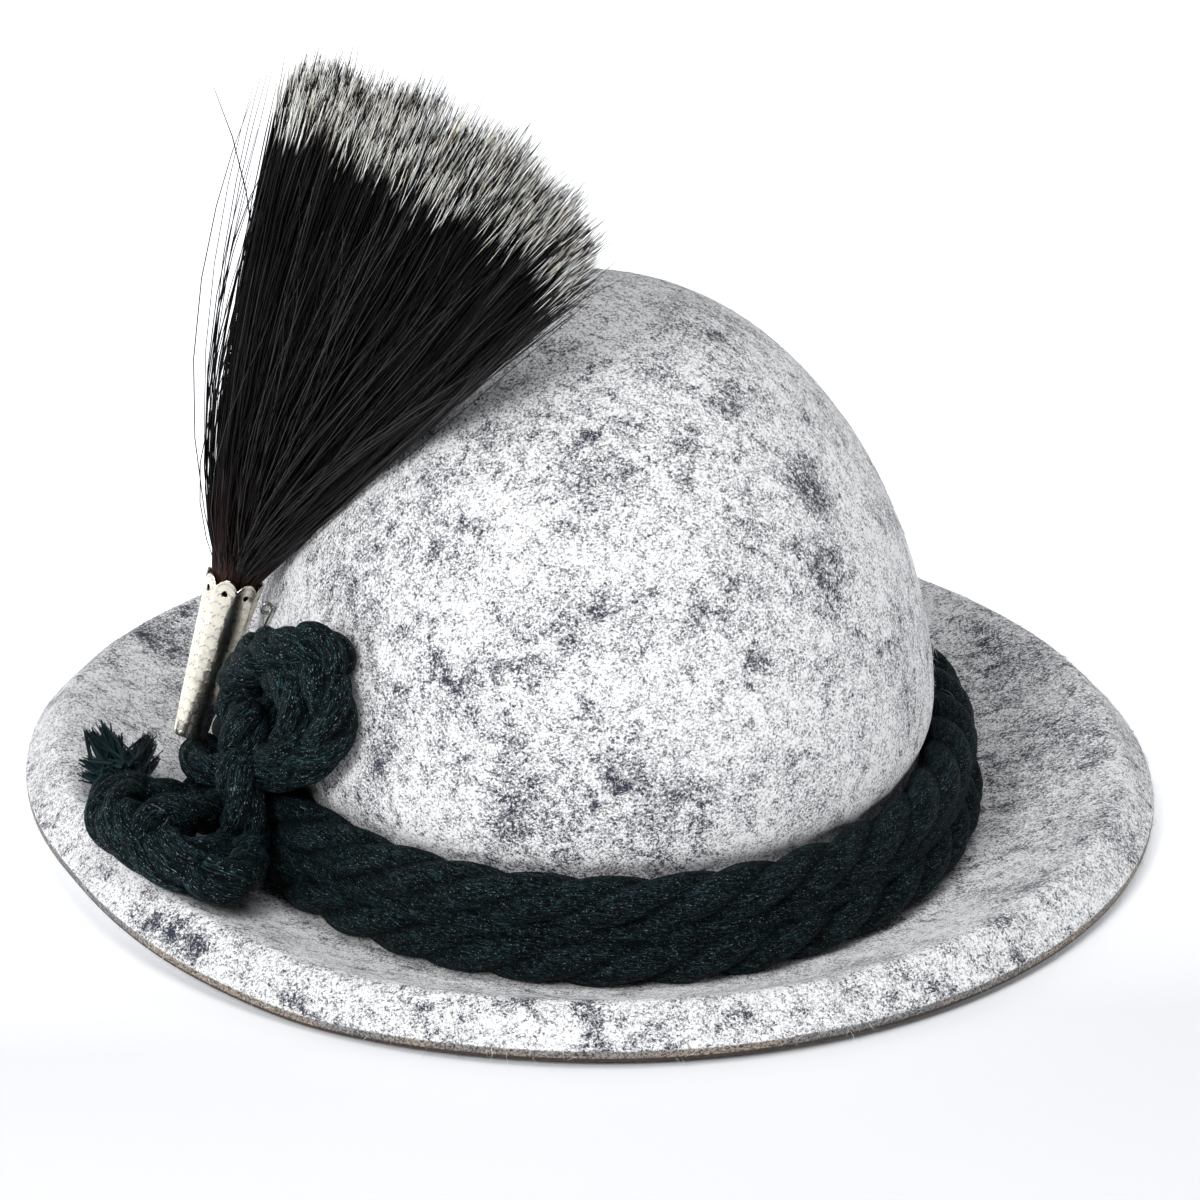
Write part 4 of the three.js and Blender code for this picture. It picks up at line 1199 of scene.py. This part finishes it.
def sleeve_place():
    """The sleeve's foot, mouth, axis, outward and sideways directions, and length, in mm."""
    brush = bpy.context.scene.hat_brush
    shape = HatShape()
    angle = brush.sleeve_angle
    foot_z = shape.lower_z + WRAP_HEIGHT + shape.gap
    foot_radius = brush.foot_diameter / 2 / MM
    mouth_radius = brush.mouth_diameter / 2 / MM
    foot = shape.band(angle, foot_z, shape.band_out + shape.gap + foot_radius * 1.04)
    mouth = shape.dome(angle - 0.9, foot_z + brush.sleeve_height / MM,
                       mouth_radius + shape.gap + COIL_DIAMETER * 0.75)
    axis = mouth - foot
    length = np.linalg.norm(axis)
    axis = axis / length
    across = shape.outward(angle)
    across = unit(across - axis * (across @ axis))
    return foot, mouth, axis, across, np.cross(axis, across), length


def dotted(wave):
    """A row of dots from a wave between -1 and 1."""
    return (0.5 + 0.5 * wave) ** 1.5


class HAT_OT_sleeve(bpy.types.Operator):
    """Tapering metal sleeve with an embossed scale pattern, a scalloped mouth and holes"""

    bl_idname = "hat.sleeve"
    bl_label = "Metal sleeve"

    def execute(self, context):
        brush = context.scene.hat_brush
        foot, mouth, axis, across, side, length = sleeve_place()
        low = brush.foot_diameter / 2 / MM
        high = brush.mouth_diameter / 2 / MM
        columns = 152
        rows = 128
        rings = []
        for share in np.arange(rows + 1) / rows:
            radius = low + (high - low) * share
            rings.append((radius, radius * SLEEVE_FLAT, 0.0, length * share))
        piece = extruded_rings("sleeve", rings, columns)
        points = points_of(piece)
        angle = np.arctan2(points[:, 1] / SLEEVE_FLAT, points[:, 0])
        wave = np.abs(np.sin(angle * brush.scallops / 2)) ** 0.8
        dip = brush.scallop_height / MM * (1 - wave)
        way = np.clip(points[:, 2] / length, 0, 1)
        points[:, 2] -= dip * np.clip((way - 0.8) / 0.2, 0, 1)
        relief, groove = self.relief(angle, points[:, 2], low, high, length, length - dip)
        radial = np.stack([np.cos(angle), np.sin(angle), np.zeros_like(angle)], axis=1)
        points += radial * relief[:, None]
        move_points(piece, points)
        mark(piece, "groove", groove)
        self.cut_holes(piece, points, angle, length, high, brush)
        face_outwards(piece)
        apply_modifier(piece, "SOLIDIFY", thickness=0.4 * MM, offset=-1, use_even_offset=False)
        place = [list(row) for row in zip(across, side, axis, foot * MM)]
        piece.data.transform(Matrix(place + [[0, 0, 0, 1]]))
        shade_smooth(piece)
        finish_piece(piece, metal_finish("embossed_sleeve_metal", brush.metal, 0.22, True),
                     "sleeve_metal", "brush_holder")
        return {"FINISHED"}

    def relief(self, angle, z, low, high, length, mouth_z):
        """Height of the dotted scale pattern, and how deep in its grooves a point is."""
        cells = 13
        pitch = 2.9
        dot_height = 0.085
        groove_depth = 0.9
        around = (angle / (2 * math.pi) * cells) % cells
        height = np.zeros_like(z)
        groove = np.zeros_like(z)
        radius = low + (high - low) * np.clip(z / length, 0, 1)
        width = 2 * math.pi * radius / cells
        for j in range(-1, int(length / pitch) + 2):
            shift = 0.5 * (j % 2)
            sideways = ((around - shift + 0.5) % 1 - 0.5) * width
            upward = z - j * pitch
            reach = np.hypot(sideways, upward)
            size = np.minimum(width * 0.52, 1.75)
            upper = 1 / (1 + np.exp(-upward / 0.18))
            line = np.exp(-((reach - size) / 0.17) ** 2) * upper
            dots = dotted(np.cos(np.arctan2(upward, sideways) * 9))
            height = np.maximum(height, line * dots * dot_height)
            groove = np.maximum(groove, line * (1 - dots) * groove_depth)
        edge = mouth_z - z
        rim = np.exp(-((edge - 0.9) / 0.22) ** 2)
        dots = dotted(np.cos(angle * 72))
        height = np.where(edge < 1.8, rim * dots * dot_height, height)
        groove = np.where(edge < 1.8, rim * (1 - dots) * groove_depth, groove)
        return height, groove

    def cut_holes(self, piece, points, angle, length, high, brush):
        """Removes the faces at each hole and rounds what is left of its edge."""
        hole = brush.hole_diameter / 2 / MM
        middle_z = length - 3.6
        near = np.full(len(points), 99.0)
        target = np.zeros((len(points), 2))
        for k in range(brush.scallops):
            turn = (k + 0.5) * 2 * math.pi / brush.scallops
            off = (angle - turn + math.pi) % (2 * math.pi) - math.pi
            flat = np.stack([off * high, points[:, 2] - middle_z], axis=1)
            away = np.hypot(flat[:, 0], flat[:, 1])
            closer = away < near
            near = np.where(closer, away, near)
            target = np.where(closer[:, None], flat, target)
        ringed = (near > hole * 0.75) & (near <= hole * 1.35)
        scale = np.maximum(hole, near) / np.maximum(near, 1e-6)
        scale = np.where(near < hole, hole * 1.02 / np.maximum(near, 1e-6), scale)
        shift = target * np.where(ringed, scale - 1, 0)[:, None]
        radius = np.hypot(points[:, 0], points[:, 1] / SLEEVE_FLAT)
        angle = angle + shift[:, 0] / high
        moved = points.copy()
        moved[:, 0] = radius * np.cos(angle)
        moved[:, 1] = radius * SLEEVE_FLAT * np.sin(angle)
        moved[:, 2] += shift[:, 1]
        move_points(piece, moved)
        edit_points(piece, np.flatnonzero(near < hole * 0.75), bpy.ops.mesh.delete, type="VERT")


class HAT_OT_pin(bpy.types.Operator):
    """Wire pin: a coil beside the sleeve's mouth and a leg behind the sleeve"""

    bl_idname = "hat.pin"
    bl_label = "Wire pin"

    def execute(self, context):
        angle = context.scene.hat_brush.sleeve_angle
        shape = HatShape()
        foot, mouth, axis, across, side, length = sleeve_place()
        wire = 0.7
        coil = (COIL_DIAMETER - wire) / 2
        out = shape.gap + wire * 0.6
        coil_z = mouth[2] - 7.0
        middle = shape.dome(angle + 2.3, coil_z, out + coil)
        facing = shape.outward(angle)
        away = np.array([facing[1], -facing[0], 0.0])
        path = []
        for turn in np.linspace(math.pi, 5 * math.pi, 61):
            point = middle + facing * coil * math.cos(turn) - away * (turn - math.pi) * wire * 0.2
            path.append(point + np.array([0, 0, coil * math.sin(turn)]))
        for share in (0.25, 0.5, 0.75, 1.0):
            z = max(coil_z - 26 * share, shape.band_top + 2)
            path.append(shape.dome(angle + 1.02 * (1 - share), z, out))
        path = smooth_path(path, 0.25)
        first, second = carried_frames(path)
        sides = 12
        ring = np.linspace(0, 2 * math.pi, sides, endpoint=False)[None, :, None]
        points = (path[:, None] + first[:, None] * np.cos(ring) * wire / 2
                  + second[:, None] * np.sin(ring) * wire / 2).reshape(-1, 3)
        piece = piece_from("pin_wire", points, tube_faces(len(path), sides))
        finish_piece(piece, metal_finish("pin_wire_metal", (0.3, 0.3, 0.29), 0.25, False),
                     "wire", "holder_pin")
        return {"FINISHED"}


class HAT_OT_brush(bpy.types.Operator):
    """Hair brush: thousands of black hairs with white tips, and some strays"""

    bl_idname = "hat.brush"
    bl_label = "Hair brush"

    def execute(self, context):
        finish = hair_finish()
        brush = context.scene.hat_brush
        thin_piece("brush_hair_back", *self.hairs(brush, 41, 0.0), finish, "hair", "brush_hair")
        thin_piece("brush_hair_front", *self.hairs(brush, 43, 0.5), finish, "hair")
        thin_piece("stray_hairs", *self.strays(brush), finish, "hair")
        return {"FINISHED"}

    def bent(self, brush, values, offset):
        """Paths of hairs from the sleeve's inside to their tips."""
        foot, mouth, axis, across, side, length = sleeve_place()
        size = brush.hair_length / MM
        lean = np.radians(values["lean"])
        front = values["front"]
        level = np.sqrt(1 - front ** 2)
        direction = np.stack([np.sin(lean) * level, -front, np.cos(lean) * level], axis=1)
        start = mouth + offset[:, :1] * across + offset[:, 1:] * side
        tip = mouth + direction * (size * values["reach"])[:, None]
        middle = (start + tip) / 2 + axis * values["bow"][:, None]
        middle[:, 0] += values["aside"]
        paths = np.empty((len(lean), len(HAIR_STEPS), 3))
        paths[:, 0] = mouth - axis * 7 + (offset[:, :1] * across + offset[:, 1:] * side) * 0.82
        for k, t in enumerate(HAIR_STEPS[1:], 1):
            paths[:, k] = (1 - t) ** 2 * start + 2 * t * (1 - t) * middle + t ** 2 * tip
        curl = np.random.default_rng(5).normal(size=(len(lean), 3))
        paths[:, -1] += curl * 1.1
        paths[:, -2] += curl * 0.25
        return paths

    def row_values(self, leans):
        known = column(BRUSH_ROWS, "lean")
        return {name: np.interp(leans, known, column(BRUSH_ROWS, name))
                for name in ("front", "reach", "bow", "aside")}

    def hairs(self, brush, seed, depth):
        """Paths, radii and marks of half the brush's hairs: depth 0 is the back half, 0.5 the
        front one."""
        count = brush.hairs
        random = np.random.default_rng(seed)
        first, last = BRUSH_ROWS[0]["lean"], BRUSH_ROWS[-1]["lean"]
        at = random.random(count) ** 1.25
        lean = first + (last - first) * at
        values = self.row_values(lean)
        layer = random.random(count) * 0.5 + depth
        radius = brush.mouth_diameter / 2 / MM - 0.85
        offset = np.stack([(1 - 2 * at) * 0.8 + random.normal(scale=0.22, size=count),
                           (2 * layer - 1) * 0.7 + random.normal(scale=0.22, size=count)], axis=1)
        far = np.hypot(offset[:, 0], offset[:, 1])
        offset *= (radius * np.minimum(1, 0.97 / np.maximum(far, 1e-6)))[:, None] * [1.0, 0.84]
        values["lean"] = lean + random.normal(scale=1.1, size=count)
        values["front"] = (values["front"] + (layer - 0.5) * 0.07
                           + random.normal(scale=0.012, size=count))
        tier = (0.04 + 0.07 * np.sin(math.pi * at) ** 2) * layer ** 1.2
        values["reach"] = (values["reach"] - tier - np.abs(random.normal(scale=0.018, size=count))
                           + 0.012 * np.sin(at * 23) + 0.01 * np.sin(at * 61))
        values["bow"] = values["bow"] + random.normal(scale=1.6, size=count)
        values["aside"] = values["aside"] + random.normal(scale=1.6, size=count)
        length = brush.hair_length / MM * values["reach"]
        from_tip = (1 - np.clip(HAIR_STEPS, 0, 1))[None, :] * length[:, None]
        white_length = (brush.white_length / MM * random.uniform(0.6, 1.25, count)
                        * (1.02 - 0.25 * at))
        white_length[random.random(count) < 0.55] = -20
        white = np.clip(0.5 + (white_length[:, None] - from_tip) / 16, 0, 1)
        root = np.clip(1 - (length[:, None] - from_tip) / 42, 0, 1)
        shade = random.random(count)
        radii = np.outer(random.uniform(0.8, 1.25, count),
                         [0.07, 0.09, 0.1, 0.11, 0.12, 0.13, 0.14, 0.15, 0.05])
        radii[white_length > 0, -3:-1] *= 1.5
        marks = {"white": white, "root": root, "shade": shade}
        return self.bent(brush, values, offset), radii, marks

    def strays(self, brush):
        """Paths, radii and marks of the stray hairs: the table's ones, and 300 by chance."""
        random = np.random.default_rng(47)
        values = {name: column(STRAY_ROWS, name) for name in STRAY_ROWS[0]}
        offsets = [(4.6, 1.0)] * len(STRAY_ROWS)
        tints_and_highlights = [0.2] * len(STRAY_ROWS)
        for k in range(300):
            kind = random.random()
            turn = random.uniform(-0.9, 0.9)
            if kind < 0.09:
                row = (random.uniform(2.2, 6.0), random.uniform(0.2, 0.34),
                       random.uniform(0.5, 1.02), random.normal(scale=3),
                       random.uniform(-16, -6))
                offset = (4.8, random.uniform(-3, 3))
            elif kind < 0.28:
                row = (random.uniform(38, 41.5), random.uniform(0.4, 0.48),
                       random.uniform(0.6, 1.0), random.normal(scale=2) + 4,
                       random.uniform(-1, 4))
                offset = (-4.8, random.uniform(-3, 3))
            else:
                lean = random.uniform(7, 40)
                front = self.row_values(lean)["front"]
                row = (lean, front + random.uniform(0.06, 0.12), random.uniform(0.5, 0.86),
                       random.uniform(-8, 4), random.uniform(-17, 9))
                offset = (4.5 * math.sin(turn), 4.6 * math.cos(turn))
            for name, value in zip(STRAY_ROWS[0], row):
                values[name].append(value)
            offsets.append(offset)
            # One stray in five gets shade 0.95, a lighter hair that is a painted highlight; the
            # others get a root tint
            tints_and_highlights.append(0.95 if kind > 0.8 else random.uniform(0.1, 0.8))
        values = {name: np.array(listed, dtype=float) for name, listed in values.items()}
        tints_and_highlights = np.array(tints_and_highlights)
        radii = np.outer(random.uniform(0.9, 1.2, len(tints_and_highlights)),
                         [0.06, 0.1, 0.12, 0.13, 0.135, 0.13, 0.12, 0.1, 0.05])
        radii[:len(STRAY_ROWS)] *= 1.3
        radii[tints_and_highlights > 0.9] *= 0.75
        none = np.zeros((len(tints_and_highlights), len(HAIR_STEPS)))
        marks = {"white": none, "root": none, "shade": tints_and_highlights}
        return self.bent(brush, values, np.array(offsets)), radii, marks


def aimed(made, name, place, aim):
    """Names what was just added, and turns it from its place to what it looks at."""
    made.name = name
    way = Vector(aim) - Vector(place)
    made.rotation_euler = way.to_track_quat("-Z", "Y").to_euler()
    return made.data


class HAT_OT_stage(bpy.types.Operator):
    """Pale floor, soft light and the camera"""

    bl_idname = "hat.stage"
    bl_label = "Floor, lights and camera"

    def execute(self, context):
        stage = context.scene.hat_stage
        self.floor(context, stage)
        self.world(context)
        key = stage.key_power
        self.light("key_light", (-0.8, -1.25, 0.98), (0.0, 0.0, 0.06), 0.5, key)
        self.light("top_light", (0.1, -0.5, 1.5), (0.0, 0.0, 0.05), 1.0, stage.top_power)
        self.light("left_light", (-1.5, -0.5, 0.3), (0.0, 0.0, 0.04), 0.5, key * 0.3)
        self.light("right_light", (1.5, -0.6, 0.3), (0.0, 0.0, 0.06), 0.5, key * 0.4)
        position = (-0.1637, -1.5834, 0.7034)
        clear_selection()
        bpy.ops.object.camera_add(location=position)
        context.scene.camera = context.object
        camera = aimed(context.object, "photo_camera", position, (0.00273, -0.00029, 0.05188))
        camera.lens = stage.lens
        camera.sensor_width = 36
        camera.clip_end = 50
        context.scene.view_settings.view_transform = "Standard"
        return {"FINISHED"}

    def floor(self, context, stage):
        """A pale floor that glows more towards the back."""
        clear_selection()
        bpy.ops.mesh.primitive_plane_add(size=12, location=(0, 0, 0))
        floor = context.object
        floor.name = "floor"
        material, tree, shader = new_finish("pale_floor")
        depth = node(tree, "ShaderNodeSeparateXYZ", {0: object_place(tree)}).outputs["Y"]
        glow = node(tree, "ShaderNodeMapRange", {0: depth, 1: -0.14, 2: 0.1, 3: 0.0, 4: 0.85})
        fill_inputs(tree, shader, {
            "Base Color": (*stage.floor, 1), "Roughness": 0.9, "Specular IOR Level": 0.1,
            "Emission Color": (0.96, 0.98, 1, 1), "Emission Strength": glow.outputs[0]})
        floor.data.materials.append(material)

    def world(self, context):
        """A room that is light above and ahead, and dim behind the camera."""
        world = bpy.data.worlds.new("soft_room")
        context.scene.world = world
        world.use_nodes = True
        tree = world.node_tree
        look = node(tree, "ShaderNodeTexCoord").outputs["Generated"]
        parts = node(tree, "ShaderNodeSeparateXYZ", {0: look}).outputs
        ahead = plus(tree, times(tree, parts["X"], -0.6), times(tree, parts["Y"], 0.8))
        ahead = stepped(tree, ahead, -0.7, 0.0)
        high = stepped(tree, parts["Z"], 0.5, 0.95)
        share = maths(tree, "MAXIMUM", ahead, high)
        colour = mixed(tree, share, (0.1, 0.105, 0.125), (0.92, 0.95, 1.0))
        fill_inputs(tree, tree.nodes["Background"], {"Color": colour, "Strength": 0.24})

    def light(self, name, place, aim, size, power):
        clear_selection()
        bpy.ops.object.light_add(type="AREA", location=place)
        lamp = aimed(bpy.context.object, name, place, aim)
        lamp.shape = "SQUARE"
        lamp.size = size
        lamp.energy = power


class HAT_PT_panel(bpy.types.Panel):
    bl_label = "Felt hat"
    bl_idname = "HAT_PT_panel"
    bl_space_type = "VIEW_3D"
    bl_region_type = "UI"
    bl_category = "Hat"

    def draw(self, context):
        layout = self.layout
        for operator in OPERATORS:
            layout.operator(operator.bl_idname)
        for name, group_class in SETTINGS:
            group = getattr(context.scene, name)
            box = layout.box()
            for key in group_class.__annotations__:
                box.prop(group, key)


SETTINGS = (
    ("hat_felt", HatFeltSettings),
    ("hat_cord", HatCordSettings),
    ("hat_brush", HatBrushSettings),
    ("hat_stage", HatStageSettings),
)
OPERATORS = (
    HAT_OT_felt, HAT_OT_fuzz, HAT_OT_band, HAT_OT_knot, HAT_OT_tail, HAT_OT_loose_yarn,
    HAT_OT_sleeve, HAT_OT_pin, HAT_OT_brush, HAT_OT_stage,
)


def register():
    for name, group in SETTINGS:
        bpy.utils.register_class(group)
        setattr(bpy.types.Scene, name, bpy.props.PointerProperty(type=group))
    for operator in OPERATORS:
        bpy.utils.register_class(operator)
    bpy.utils.register_class(HAT_PT_panel)


def unregister():
    bpy.utils.unregister_class(HAT_PT_panel)
    for operator in reversed(OPERATORS):
        bpy.utils.unregister_class(operator)
    for name, group in reversed(SETTINGS):
        delattr(bpy.types.Scene, name)
        bpy.utils.unregister_class(group)


def main():
    register()
    bpy.ops.hat.stage()
    bpy.ops.hat.felt()
    bpy.ops.hat.fuzz()
    bpy.ops.hat.band()
    bpy.ops.hat.knot()
    bpy.ops.hat.tail()
    bpy.ops.hat.loose_yarn()
    bpy.ops.hat.sleeve()
    bpy.ops.hat.pin()
    bpy.ops.hat.brush()
    clear_selection()


if __name__ == "__main__":
    main()
